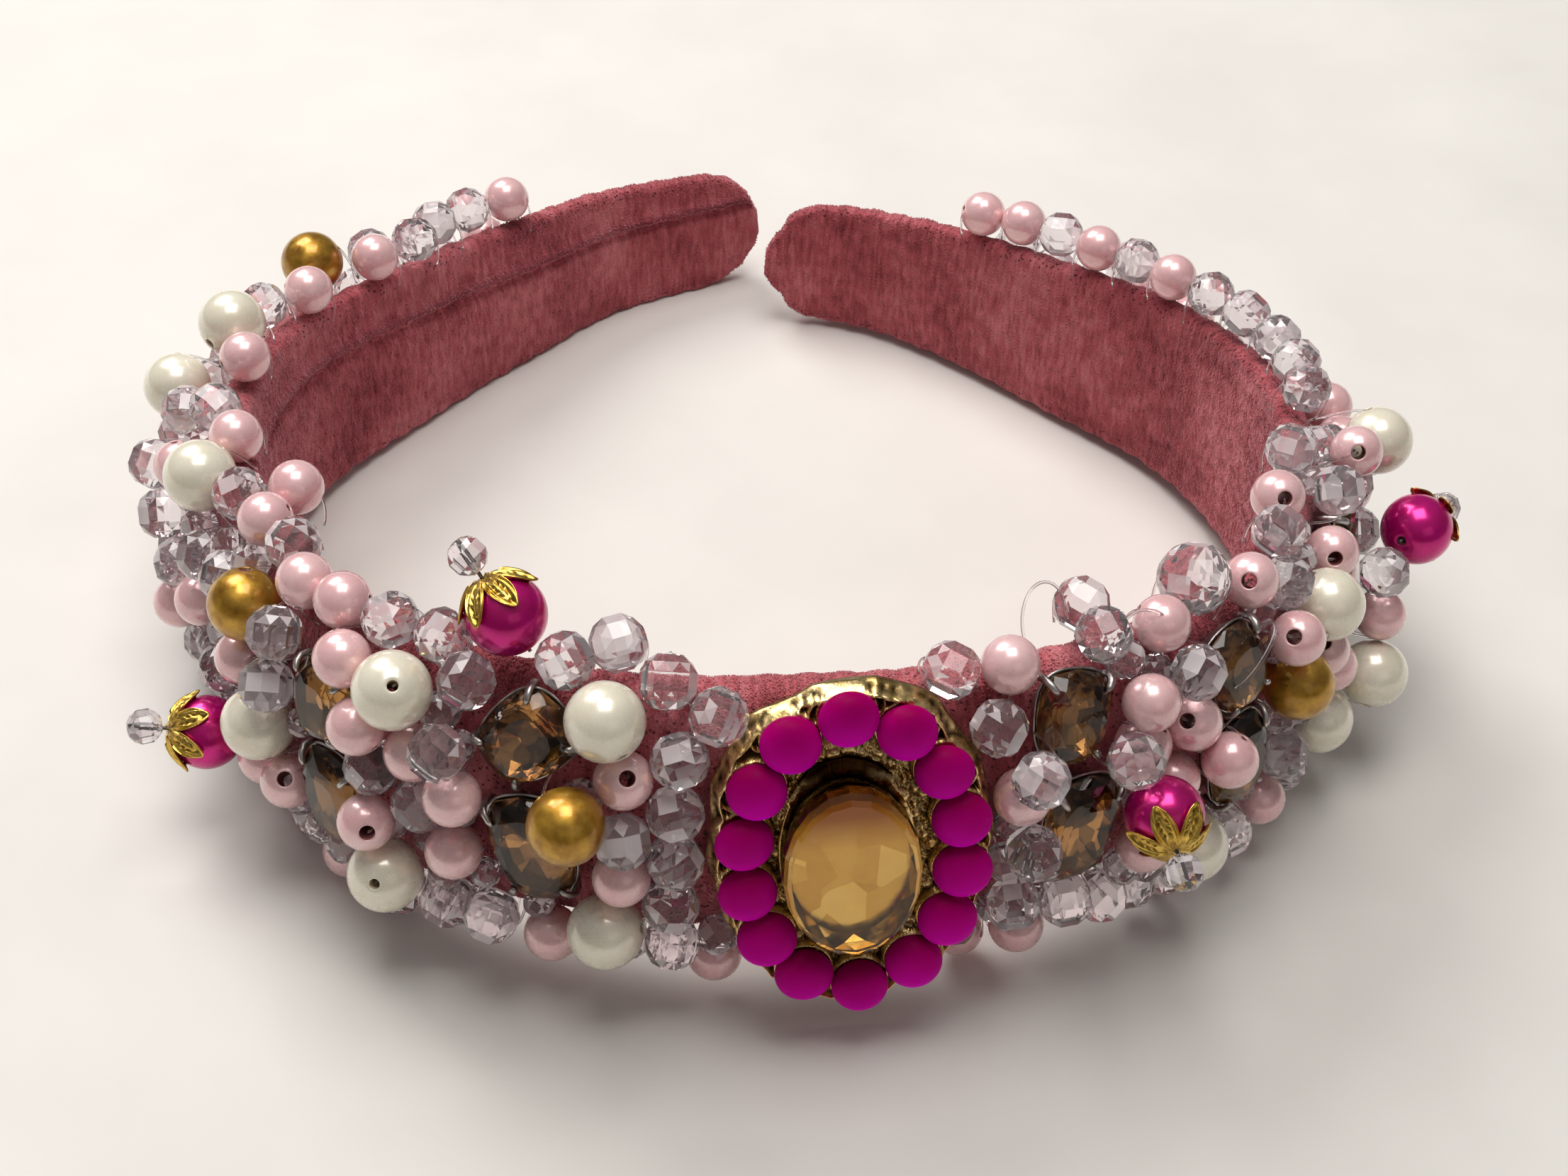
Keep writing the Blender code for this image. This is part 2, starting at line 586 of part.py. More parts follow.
def make_medallion(materials):
    """The gold casting, its round stones and the large oval stone."""
    frame = medallion_frame()
    edge = CABOCHON_R + RIM_BEYOND - PLATE_BEVEL
    plate = rings_mesh([
        oval(RING_HALF, edge - PLATE_BEVEL, 0.0, PLATE_SIDES, CABOCHON_COUNT, PLATE_WAVE[0]),
        oval(RING_HALF, edge, PLATE_THICK, PLATE_SIDES, CABOCHON_COUNT, PLATE_WAVE[1]),
    ])
    pieces = [placed(plate, frame)]
    collar = rings_mesh([
        oval(CENTRE_STONE_HALF, COLLAR_BEYOND[0], PLATE_THICK - SUNK, COLLAR_SIDES),
        oval(CENTRE_STONE_HALF, COLLAR_BEYOND[1], COLLAR_HIGH, COLLAR_SIDES),
    ])
    shift = Matrix.Translation((*CENTRE_STONE_OFF, 0))
    pieces.append(placed(collar, frame @ shift))
    for x, y in oval_ring_places():
        cup = rings_mesh([
            [(x + CUP_R * math.cos(a), y + CUP_R * math.sin(a), z)
             for a in np.arange(CUP_SIDES) * 2 * math.pi / CUP_SIDES]
            for z in (PLATE_THICK - SUNK, PLATE_THICK + CUP_HIGH)])
        pieces.append(placed(cup, frame))
    fuse("medallion_setting", pieces, materials["gold_metal"])

    seat = Matrix.Translation((0, 0, PLATE_THICK + CUP_HIGH + GAP))
    for number, (x, y) in enumerate(oval_ring_places(), 1):
        dome = rings_mesh([
            [(CABOCHON_R * wide * math.cos(a), CABOCHON_R * wide * math.sin(a), CABOCHON_HIGH * z)
             for a in np.arange(BEAD_SIDES) * 2 * math.pi / BEAD_SIDES]
            for wide, z in CABOCHON_PROFILE])
        where = frame @ seat @ Matrix.Translation((x, y, 0))
        placed(dome, where, f"cabochon_{number:02d}", materials["magenta_stone"])

    stone = rings_mesh([
        oval((CENTRE_STONE_HALF[0] * wide, CENTRE_STONE_HALF[1] * wide), 0.0,
             CENTRE_STONE_HIGH * z, STONE_SIDES) for wide, z in CENTRE_STONE_CUT])
    where = frame @ shift @ Matrix.Translation((0, 0, COLLAR_HIGH + GAP))
    placed(stone, where, "centre_stone", materials["champagne_glass"])


def pear_point(half_wide, half_high, angle):
    """Point of a pear outline with full corners, whose narrow end points down, for an angle
    from its top."""
    narrow = 1.0 - PEAR_NARROW * (1 - math.cos(angle)) / 2
    beside, above = math.sin(angle), math.cos(angle)
    return (half_wide * narrow * math.copysign(abs(beside) ** PEAR_CORNER, beside),
            half_high * math.copysign(abs(above) ** PEAR_CORNER, above))


def pear(half_wide, half_high, share, high):
    """Points round a pear outline that is shrunk to a share of its size."""
    angles = np.arange(BEAD_SIDES) * 2 * math.pi / BEAD_SIDES
    return [(*pear_point(half_wide * share, half_high * share, angle), high) for angle in angles]


def make_stones(material):
    """The claw-set stones, each fused to its metal cup and claws."""
    for number, (along, across, seat, half_wide, half_high, turn) in enumerate(STONES, 1):
        wide, high = half_wide * MM, half_high * MM
        frame = local_frame(along, across) @ Matrix.Rotation(math.radians(turn), 4, "Z")
        frame = frame @ Matrix.Translation((0, 0, seat * MM))
        body = rings_mesh([pear(wide, high, share, STONE_THICK * z)
                           for share, z in SMOKY_STONE_CUT])
        pieces = [placed(body, frame)]
        for claw in CLAW_ANGLES:
            angle = math.radians(claw)
            x, y = pear_point(wide * CLAW_SHARE, high * CLAW_SHARE, angle)
            size = (PRONG_THICK, PRONG_THICK, CLAW_HIGH * STONE_THICK, 1)
            place = (Matrix.Translation((x, y, CLAW_MIDDLE * STONE_THICK))
                     @ Matrix.Rotation(-angle, 4, "Z") @ Matrix.Diagonal(size))
            def build(work, place=place):
                bmesh.ops.create_cube(work, size=1.0, matrix=place)
            pieces.append(placed(mesh_of(build), frame))
        fuse(f"smoky_stone_{number:02d}", pieces, material)


def cap_mesh():
    """A six-petalled bead cap: a star-shaped dish that fits over a drop pearl."""
    inner = FUCHSIA_R + GAP
    corners = 2 * CAP_PETALS
    def build(work):
        top = work.verts.new((0, 0, inner))
        loops = []
        for reach, valley in CAP_RINGS:
            loop = []
            for step in range(corners):
                lean = math.radians(reach if step % 2 == 0 else valley)
                turn = 2 * math.pi * step / corners
                loop.append(work.verts.new((inner * math.sin(lean) * math.cos(turn),
                                            inner * math.sin(lean) * math.sin(turn),
                                            inner * math.cos(lean))))
            loops.append(loop)
        for i in range(corners):
            j = (i + 1) % corners
            work.faces.new((top, loops[0][i], loops[0][j]))
            work.faces.new((loops[0][i], loops[1][i], loops[1][j], loops[0][j]))
    return mesh_of(build)


def cap_turn(along, across, pointing):
    """Rotation that takes Z to the way that a drop pearl's cap points."""
    way = (local_frame(along, across).to_3x3() @ Vector(pointing)).normalized()
    return way.to_track_quat("Z", "Y").to_matrix().to_4x4()


def make_drops(materials, places):
    """The fuchsia pearls, each with a gold cap and a small clear bead at its tip."""
    for number, (along, across, _, pointing) in enumerate(DROPS, 1):
        turned = cap_turn(along, across, pointing)
        frame = Matrix.Translation(Vector(places[number - 1])) @ turned
        pearl = bead_mesh(FUCHSIA_R, PEARL_RINGS)
        placed(pearl, frame, f"fuchsia_pearl_{number}", materials["fuchsia_pearl"])
        cap = placed(cap_mesh(), frame, f"petal_cap_{number}", materials["gold_metal"])
        shell = cap.modifiers.new("sheet", "SOLIDIFY")
        shell.thickness = CAP_THICK
        shell.offset = 1.0
        far = FUCHSIA_R + CAP_THICK + 2 * GAP + TIP_R
        tip = bead_mesh(TIP_R, TIP_RINGS)
        where = frame @ Matrix.Translation((0, 0, far))
        placed(tip, where, f"tip_bead_{number}", materials["clear_bead"])


def thread_links(places, blocks):
    """Pairs of beads that the thread joins: the shortest tree that keeps clear of blocks."""
    count = len(places)
    block_places = np.array([place for place, _ in blocks])
    block_radii = np.array([radius for _, radius in blocks])
    def cost(i, j):
        run = places[j] - places[i]
        length = np.linalg.norm(run)
        share = np.clip(((block_places - places[i]) @ run) / length ** 2, 0, 1)
        nearest = places[i] + share[:, None] * run
        room = np.linalg.norm(block_places - nearest, axis=1) - block_radii
        return length + (1.0 if room.min() < THREAD_R + GAP else 0.0)
    links = []
    best = {j: (cost(0, j), 0) for j in range(1, count)}
    while best:
        j = min(best, key=lambda k: best[k][0])
        links.append((best.pop(j)[1], j))
        for k in best:
            price = cost(j, k)
            if price < best[k][0]:
                best[k] = (price, j)
    return links


def make_field(name, kinds, places, blocks, material):
    """A field of small beads, joined by short stretches of thread into one body."""
    pieces = []
    for kind, place in zip(kinds, places):
        bead = bead_mesh(RADII[kind], BEAD_RINGS[kind])
        pieces.append(placed(bead, Matrix.Translation(place)))
    for i, j in thread_links(places, blocks):
        pieces.append(thread_piece(places[i], places[j]))
    fuse(name, pieces, material)


def rest_frame():
    """The turn and place that set the ring on the surface where it rests."""
    return (Matrix.Translation(REST_PLACE) @ Matrix.Rotation(REST_TILT_Y, 4, "Y")
            @ Matrix.Rotation(REST_TILT_X, 4, "X"))


def settled_beads():
    """Rows, owners and settled middles of all the beads, fields first."""
    fill = fill_beads()
    left = LEFT_BEADS + SIDE_PEARLS[:3] + [bead for bead in fill if bead[1] < 0]
    right = RIGHT_BEADS + SIDE_PEARLS[3:] + [bead for bead in fill if bead[1] > 0]
    drops = [("fuchsia", along, across, lift) for along, across, lift, _ in DROPS]
    rows = left + right + MAIN_PEARLS + drops
    owners = ["left"] * len(left) + ["right"] * len(right)
    owners += [f"own {number}" for number in range(len(MAIN_PEARLS) + len(drops))]
    places = np.array([bead_place(*row[1:]) for row in rows])
    guards = stone_guards() + medallion_guards()
    return rows, owners, settle([row[0] for row in rows], places, owners, guards)


def keeps_solid(row, number):
    """Whether a bead is in a solid field. The finest are left to the surface model."""
    kind, _, across, lift = row
    if "clear" in kind:
        return across > SOLID_CLEAR_ABOVE or lift >= SOLID_CLEAR_LIFT
    charted = row in LEFT_BEADS or row in RIGHT_BEADS or row in SIDE_PEARLS
    return charted or number % SOLID_FILL_EVERY == 0


def main():
    clear_scene()
    collection = bpy.data.collections.new("beaded_headband")
    bpy.context.scene.collection.children.link(collection)
    materials = make_materials()
    rows, owners, places = settled_beads()

    make_band(materials["velvet"])
    make_medallion(materials)
    make_stones(materials["smoky_glass"])
    first_own = owners.index("own 0")
    for number, row in enumerate(MAIN_PEARLS, 1):
        kind = row[0]
        pearl = bead_mesh(RADII[kind], PEARL_RINGS)
        where = Matrix.Translation(places[first_own + number - 1])
        placed(pearl, where, f"{kind}_pearl_{number:02d}", materials[f"{kind}_pearl"])
    make_drops(materials, places[first_own + len(MAIN_PEARLS):])
    blocks = stone_guards() + medallion_guards()
    blocks += [(place, RADII[row[0]]) for row, place in zip(rows[first_own:], places[first_own:])]
    for side in ("left", "right"):
        solid = [i for i, owner in enumerate(owners) if owner == side and keeps_solid(rows[i], i)]
        make_field(f"bead_field_{side}", [rows[i][0] for i in solid], places[solid], blocks,
                   materials["pink_pearl"])

    for item in collection.objects:
        item.matrix_world = rest_frame() @ item.matrix_world


main()
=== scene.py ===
"""The looks of a beaded velvet headband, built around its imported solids.

The band lies on one edge: +Z is up, its front faces -Y and its two ends nearly meet at +Y.
A place on the band is given by three lengths. "along" runs round the inner face from the
middle of the front, negative to the left. "across" runs over the outer face from its middle
line, positive upwards. "lift" is the distance from the velvet to the middle of the bead.
"""
import json
import math

import bpy
import numpy as np
from mathutils import Matrix, Vector

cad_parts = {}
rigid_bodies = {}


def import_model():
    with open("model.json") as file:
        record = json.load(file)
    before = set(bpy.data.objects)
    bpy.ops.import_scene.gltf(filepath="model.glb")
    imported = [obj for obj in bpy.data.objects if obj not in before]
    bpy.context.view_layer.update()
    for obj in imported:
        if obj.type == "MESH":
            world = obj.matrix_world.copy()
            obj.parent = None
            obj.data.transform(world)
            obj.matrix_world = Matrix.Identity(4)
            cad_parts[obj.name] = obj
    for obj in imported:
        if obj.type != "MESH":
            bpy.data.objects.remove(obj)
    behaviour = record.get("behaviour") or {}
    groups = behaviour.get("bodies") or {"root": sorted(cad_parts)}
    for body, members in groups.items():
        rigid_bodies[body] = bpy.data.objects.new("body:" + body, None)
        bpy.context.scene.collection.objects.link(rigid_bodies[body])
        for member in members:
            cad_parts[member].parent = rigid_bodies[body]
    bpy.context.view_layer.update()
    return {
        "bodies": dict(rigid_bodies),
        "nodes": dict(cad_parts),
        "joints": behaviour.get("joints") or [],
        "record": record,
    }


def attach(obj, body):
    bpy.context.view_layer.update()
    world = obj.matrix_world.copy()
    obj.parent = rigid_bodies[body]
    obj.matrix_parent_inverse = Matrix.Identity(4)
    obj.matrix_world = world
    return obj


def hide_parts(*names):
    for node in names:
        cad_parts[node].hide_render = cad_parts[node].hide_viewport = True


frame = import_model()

TURN = 2 * math.pi

# Driving dimensions, in metres
MM = 0.001
GAP = 0.3 * MM
PINK_R = 3.0 * MM
CLEAR_R = 3.0 * MM
BIG_CLEAR_R = 3.9 * MM
CREAM_R = 4.0 * MM
GOLD_R = 3.9 * MM
FUCHSIA_R = 4.1 * MM
TIP_R = 2.0 * MM
CAP_THICK = 0.35 * MM
CENTRE_STONE_HALF = (7.05 * MM, 10.2 * MM)
CENTRE_STONE_HIGH = 4.6 * MM
CENTRE_STONE_OFF = (-0.5 * MM, -0.3 * MM)
CABOCHON_COUNT = 14
CABOCHON_R = 3.0 * MM
CABOCHON_HIGH = 2.4 * MM
RING_HALF = (11.1 * MM, 16.6 * MM)
PLATE_THICK = 1.2 * MM
CUP_HIGH = 1.2 * MM
COLLAR_HIGH = 1.8 * MM
MEDALLION_ALONG = 3.15 * MM
MEDALLION_HIGH = 0.6 * MM
MEDALLION_LEAN = math.radians(6.0)
MEDALLION_TURN = math.radians(3.7)
MEDALLION_OUT = 8.2 * MM
STONE_THICK = 4.2 * MM
REST_TILT_X = math.radians(-6.57)
REST_TILT_Y = math.radians(0.17)
REST_PLACE = (-3.53 * MM, 9.92 * MM, 15.38 * MM)
PLAN_STEPS_PER_KNOT = 24
INNER_EDGE_SHARE = 0.90
OUT_POWER = 0.55
HIGH_POWER = 0.90
SECTION_STEPS = 120
SLOPE_STEP = 0.6 * MM
OVAL_STEPS = 720

# Where the photograph was taken from, in the band's own frame
CAMERA_PLACE = (-25.1 * MM, -241.9 * MM, 159.2 * MM)
CAMERA_PITCH = math.radians(36.6)
CAMERA_ROLL = math.radians(2.0)
CAMERA_YAW = math.radians(7.0)
CAMERA_LENS = 53.06

# Pearls whose drilled holes face the viewer: along, across
FACING_HOLES = [
    (-18, 8.5), (-40.5, -0.5), (45, 15.5), (61, 17), (-51, -5), (-57.5, -7.5), (56.5, 3.5),
    (46.5, 11), (61.5, 11.5), (36.5, 7.5), (75, 13), (-38, 12.5), (-39.5, -7), (-79, 4),
]

# The velvet cover: its mesh, then its seam in millimetres, then its pile
OUTER_POINTS = 41
RIM_POINTS = 12
INNER_POINTS = 30
RIM_ANGLE = 78
END_STATIONS = (0.25, 0.6, 1.1, 1.8, 2.6, 3.6, 4.8, 6.2, 7.6)
STATION_STEP = 0.9 * MM
RIGHT_FOLD = 3.4 * MM
SEAM_HIGH = 4.2
SEAM_CLIMB = 0.035
SEAM_WIDE = 0.55
SEAM_FIRST = -55
PILE_COUNT = 45000
PILE_HIGH = 1.1 * MM
PILE_WIDE = 0.09 * MM

# The lowest that any point may lie over the surface
FLOOR_ROOM = 0.02 * MM

# Holes, thread and the small beads tucked between the others
PINK_BORE = 0.38 * MM
FACING_BORE = 0.80 * MM
CREAM_BORE = 0.55 * MM
GOLD_BORE = 0.60 * MM
FUCHSIA_BORE = 0.55 * MM
HOLE_REACH = 0.6
AXIS_TRIES = 9
AXIS_FACING = 0.45
NYLON_R = 0.14 * MM
PIN_R = 0.2 * MM
TUCKED_KINDS = ("tucked", "small tucked")
TUCKED_OVERLAP = 0.72
TUCKED_OFF = 4.5 * MM
TUCKED_LIFT = 0.2
TUCKED_ALONG = (-84, 84, 1.7)
TUCKED_ACROSS = (-15.5, 15.5, 1.6)

# Velvet left bare over the medallion: its middle and half length along, its lowest across
BARE_TOP = (3, 17, 8)

# Steps of the normal that tell one facet from the next
FACET_CELL = (0.07, 0.07, 0.07)

# A clear bead's facets: radius and height as shares of its radius, from its waist up
BEAD_FACETS = [(0.955, 0.32), (0.77, 0.635), (0.44, 0.89), (0.12, 0.94)]
BEAD_TWISTS = [0, 0, 1, 0, 0, 1, 0, 0]

# Petal caps: petals, points round and down, thickness, then places of the pits
PETALS = 6
CAP_POINTS = (192, 26)
CAP_SHEET = 0.16 * MM
PIT_PLACES = (0.46, 0.60, 0.74)

# Cut stones: shares of the outline and of the height, with the twist of each ring
PEAR_NARROW = 0.22
PEAR_CORNER = 0.75
SMOKY_SIDES = 12
SMOKY_CROWN = [(1.0, 0.55, 0), (0.90, 0.74, 1), (0.74, 0.92, 0), (0.56, 1.0, 1)]
SMOKY_BACK = [(0.20, 0.06, 0), (0.58, 0.20, 1), (0.90, 0.40, 0), (0.99, 0.48, 0)]
CENTRE_SIDES = 20
CENTRE_CROWN = [(1.0, 0.62, 0), (0.985, 0.80, 0), (0.94, 0.93, 0), (0.885, 1.0, 0)]
CENTRE_BACK = [(0.86, 0.0, 0), (0.93, 0.18, 1), (0.985, 0.40, 0), (1.0, 0.56, 0)]
CUP_WALL = [(0.80, 0.0), (0.96, 0.34), (1.02, 0.40), (1.02, 0.44), (0.97, 0.44),
            (0.90, 0.36), (0.72, 0.08)]
CUP_SIDES = 40
CLAW_ANGLES = (45, 135, 225, 315)
CLAW_PATH = [(0.98, 0.10), (1.07, 0.34), (1.08, 0.58), (1.0, 0.76), (0.88, 0.86), (0.80, 0.885)]
CLAW_RADII = (0.40, 0.44, 0.44, 0.42, 0.38, 0.20)

# The casting: mesh, bosses and heights over its back, in millimetres
CAST_POINTS = (660, 66)
CAST_FACE = 1.25
CAST_SEAT = 1.3
BOSS_TRIES = 6000
BOSS_RADII = [0.42, 0.55, 0.72, 0.85]
BOSS_FIELD = (14.0, 19.5)
BOSS_OFF_STONES = 2.9
CUP_RING = 3.0
CUP_FLOOR = 2.35

# Half the reach, each way, of the places tried for the small domes
FIELD_PLACE = (15, 20)

# The large stone's offset and half size
STONE_PLACE = np.array([CENTRE_STONE_OFF, CENTRE_STONE_HALF]) / MM

# Loose bights of thread: along, across, lift, half width and height in millimetres, turn
LOOPS = [(23.5, 18.5, 3.5, 3.2, 4.0, 0.3), (32, 15.5, 4.0, 3.0, 3.4, -0.4),
         (42, 12, 5.0, 3.4, 3.6, 0.8), (49, 9, 5.0, 2.6, 3.2, 0.1)]

# Lights: name, place and size in metres, power in watts, colour
LIGHTS = [
    ("window", (-0.30, 0.45, 0.62), (0.42, 0.42), 4.2, (1.0, 0.975, 0.94)),
    ("top", (0.0, 0.03, 0.95), (0.55, 0.55), 5.2, (1.0, 0.97, 0.93)),
    ("front", (0.25, -0.60, 0.40), (0.4, 0.3), 0.12, (1.0, 0.93, 0.88)),
]
LIGHT_AIM = (0, 0, 0.02)
WORLD_STRENGTH = 0.34
EXPOSURE = 0.0
FLOOR_HALF = 3.0

RANDOM = np.random.default_rng(7)

# The inner face seen from above: bearing from the front in degrees, distance in millimetres
PLAN = [
    (-186, 60.5), (-165, 54.0), (-148, 49.6), (-128, 49.4), (-100, 56.8), (-75, 61.2),
    (-42, 65.8), (-20, 65.0), (0, 64.0), (20, 65.4), (40, 67.0), (60, 64.8),
    (80, 62.2), (100, 56.4), (122, 49.1), (145, 48.4), (160, 49.2), (173, 48.6),
]

# Share of the way from the front to an end, half width and thickness in millimetres
TAPER = [
    (0.00, 16.0, 7.0), (0.25, 15.3, 6.6), (0.50, 13.9, 5.6),
    (0.75, 11.5, 4.7), (0.90, 9.4, 4.3), (1.00, 8.6, 4.0),
]

# Beads read from the photograph: kind, along, across, lift, in millimetres
PINK, CLEAR = "pink", "clear"
LEFT_BEADS = [
    (CLEAR, -9.5, 14.5, 3.5), (CLEAR, -14.5, 15.5, 3.5), (CLEAR, -13, 11, 3.3),
    (CLEAR, -13, 5.5, 3.3), (CLEAR, -13, -0.5, 3.3), (CLEAR, -13.5, -6.5, 3.3),
    (CLEAR, -13.5, -12.5, 3.3), (CLEAR, -17.5, 2.5, 4.5), (PINK, -17.5, -3, 3.3),
    (PINK, -18, 8.5, 3.3), (CLEAR, -19.5, 20, 3.3), (CLEAR, -25, 15.5, 3.5),
    (CLEAR, -31, 14, 3.3), (CLEAR, -31.5, 10, 3.3), (PINK, -32.5, 4.5, 3.4),
    (PINK, -33, -3, 3.4), (CLEAR, -30, -9, 3.3), (CLEAR, -35, -10.5, 3.3),
    (PINK, -25, -14, 3.3), (PINK, -9.5, -16, 3.3), (CLEAR, -36.5, 16, 3.4),
    (CLEAR, -42, 16, 3.4), (PINK, -43, 12.5, 3.4), (PINK, -46.5, 16, 3.6),
    (PINK, -51.5, 15.5, 3.4), (PINK, -41, 8.5, 3.3), (PINK, -35.5, 7.5, 3.3),
    (CLEAR, -41, 4.5, 3.4), (CLEAR, -36.5, 1, 3.3), (PINK, -40.5, -0.5, 3.6),
    (CLEAR, -50.5, 11.5, 3.4), (CLEAR, -49.5, 6.5, 3.4), (PINK, -58.5, 4, 3.6),
    (PINK, -51, -5, 3.4), (PINK, -57.5, -7.5, 3.6), (CLEAR, -57, 16, 3.4), (PINK, -63, 16, 3.4),
    (PINK, -67, 19.5, 3.3), (CLEAR, -69.5, 15.5, 3.4), (CLEAR, -64.5, 10.5, 3.4),
    (CLEAR, -71, 9, 3.6), (CLEAR, -79, 4, 4.5), (CLEAR, -83.5, 6.5, 4.2),
    (CLEAR, -88.5, 8, 4.6), (PINK, -72, 3, 3.6), (PINK, -79, -2, 5), (PINK, -80, 16, 3.4),
    (CLEAR, -87, 15, 3.4), (CLEAR, -92, 12, 3.4), (PINK, -97.5, 17, 3.4),
    (CLEAR, -111, 13.5, 3.4), (PINK, -115.5, 15.5, 3.4), (PINK, -127.5, 15, 3.3),
    (CLEAR, -131, 11.5, 3.4), (CLEAR, -134.5, 14, 3.4), (CLEAR, -140, 12.5, 3.4),
    (CLEAR, -146, 12, 3.4), (PINK, -152, 12, 3.4), (CLEAR, -66, -3, 3.3),
]
RIGHT_BEADS = [
    (CLEAR, 12, 16, 3.5), (PINK, 18, 16, 3.8), (CLEAR, 15.5, 12, 3.3), (CLEAR, 20, 9.5, 4.8),
    (PINK, 17.5, 4, 3.3), (CLEAR, 20, 0, 4.5), (CLEAR, 20, -8, 3.5), (CLEAR, 27, 16, 3.5),
    (CLEAR, 28, 21, 3.4), (PINK, 34.5, 15.5, 3.6), (PINK, 30, 12, 3.4), (CLEAR, 35.5, 12, 3.4),
    ("big_clear", 40.5, 17, 4.6), (PINK, 45, 15.5, 3.6), (PINK, 31.5, 7.5, 3.3),
    (CLEAR, 26.5, 9, 6.5), (PINK, 36.5, 7.5, 3.6), (PINK, 39, 4, 3.6), (PINK, 35, 1.5, 3.3),
    (PINK, 30, -6, 3.3), (CLEAR, 25, -12, 3.3), (PINK, 21, -15, 3.5), (PINK, 16, -17, 3.5),
    (CLEAR, 30, -14, 3.4), (CLEAR, 35, -15.5, 3.6), (CLEAR, 40, -16, 4.5),
    (CLEAR, 45.5, -13, 3.8), (PINK, 50, -12, 3.8), (CLEAR, 49, -5.5, 3.4),
    (CLEAR, 55, -11.5, 3.8), (CLEAR, 49.5, 13.5, 3.4), (CLEAR, 55, 16, 3.4),
    (PINK, 61, 17, 3.4), (PINK, 61.5, 11.5, 3.4), (PINK, 46.5, 11, 3.4), (PINK, 56.5, 3.5, 4),
    (PINK, 62, -2.5, 4), (CLEAR, 67, 13, 3.4), (CLEAR, 71.5, 17, 3.4), (PINK, 75, 13, 5),
    (CLEAR, 76, 9.5, 3.6), (CLEAR, 75, 7, 5.4), (CLEAR, 71.5, 6, 8), (PINK, 69, -0.5, 7),
    (CLEAR, 86, 15, 3.4), (PINK, 90, 10, 3.3), (CLEAR, 92, 14.5, 3.3), (CLEAR, 98, 14, 3.3),
    (CLEAR, 104, 14, 3.3), (CLEAR, 110, 14, 3.3), (PINK, 116, 14, 3.3), (CLEAR, 122, 13.5, 3.3),
    (PINK, 128, 13, 3.3), (CLEAR, 134, 12.5, 3.3), (PINK, 140, 12, 3.3), (PINK, 146, 12, 3.3),
]

# Pearls that are pieces of their own: kind, along, across, lift, in millimetres
MAIN_PEARLS = [
    ("cream", -19, 14, 4.6), ("cream", -19.2, -9.8, 3.8), ("cream", -38, 12.5, 4.8),
    ("cream", -39.5, -7, 4.4), ("cream", -54, 0, 4.4), ("cream", 38, -8, 4.3),
    ("cream", 55, 10, 4.8), ("cream", 61, -8.5, 4.8), ("gold", -20.5, 6.5, 7.5),
    ("gold", -57, 11.5, 4.3), ("gold", -122.5, 12, 5), ("gold", 50, 4, 4.2),
]

# Large pearls farther round, which belong to the fields: kind, along, across, lift
SIDE_PEARLS = [
    ("cream", -75, 14, 4.6), ("cream", -104, 14, 4.8), ("cream", -100, 9.5, 4.4),
    ("cream", 81.5, 10.5, 5.8), ("cream", 67, -6, 7.5),
]

# Drop pearls: along, across, lift in millimetres, then the way that the cap points
# as shares of along, across and out
DROPS = [
    (-29.5, 17, 6, (-0.53, 0.24, 0.79)), (-63, -6, 7.2, (-0.1, 0.44, 0.77)),
    (29, 2.5, 6.5, (-0.25, -0.21, 0.87)), (73.5, 6.5, 9, (1.0, -0.16, 0.45)),
]

# Claw-set stones: along, across, lift of the seat, half width, half height, turn in degrees
STONES = [
    (-26.5, 11, 0.3, 4.9, 5.2, -45), (-26, -2, 0.3, 5.0, 6.9, 10),
    (-46, 7.8, 0.3, 4.3, 4.8, 0), (-45.5, -3.9, 0.3, 4.5, 6.3, 0),
    (23.5, 11.6, 0.3, 4.6, 5.1, -10), (25, -2, 0.3, 4.8, 7.0, -5),
    (42, 10.3, 0.3, 4.6, 5.1, 15), (43.5, -2, 0.3, 4.6, 6.5, 10),
    (69.5, 8.9, 0.3, 4.3, 4.8, 0), (67.5, -3, 0.3, 4.3, 6.3, 0),
]

# Fill where the photograph doesn't reach: first and last along, then the rows under the
# top row, which lies a little beyond half the band's width
FILL_STRETCHES = [(-152, -82), (80, 148)]
FILL_ROW_COUNT = 4
FILL_TOP_BEYOND = 1.6
FILL_ROW_STEP = 6.6
FILL_STEP = 7.2
FILL_SWAY = 0.9
FILL_LOWEST = 1.5
FILL_LIFT = 3.4
FILL_KINDS = [PINK, CLEAR, CLEAR, PINK, CLEAR]
LOW_STRETCHES = [(-78, -38), (58, 76)]
LOW_ROW = -15.5

# Room kept round the stones and the medallion while the beads settle
SETTLE_ROUNDS = 220
VELVET_SAMPLE_STEP = 1.5 * MM
STONE_GUARD_SHARE = 0.6
STONE_GUARD_LIFT = 0.45
STONE_GUARD_ROOM = 0.5 * MM
MEDALLION_GUARDS = 36
MEDALLION_GUARD_IN = 2.0 * MM
MEDALLION_GUARD_R = 2.6 * MM
MEDALLION_GUARD_DEPTHS = (0.5 * MM, 3.0 * MM)
FIELD_ROOM = 0.10 * MM
OWN_ROOM = 0.40 * MM
LARGE_BEAD_R = 3.5 * MM
SMALL_GIVES = 0.5
LARGE_GIVES = 0.25
PUSH = 0.6
GUARD_PUSH = 0.3

RADII = {
    "pink": PINK_R, "clear": CLEAR_R, "big_clear": BIG_CLEAR_R, "cream": CREAM_R,
    "gold": GOLD_R, "fuchsia": FUCHSIA_R, "tucked": 2.2 * MM, "small tucked": 1.7 * MM,
}


# Where things lie on the band

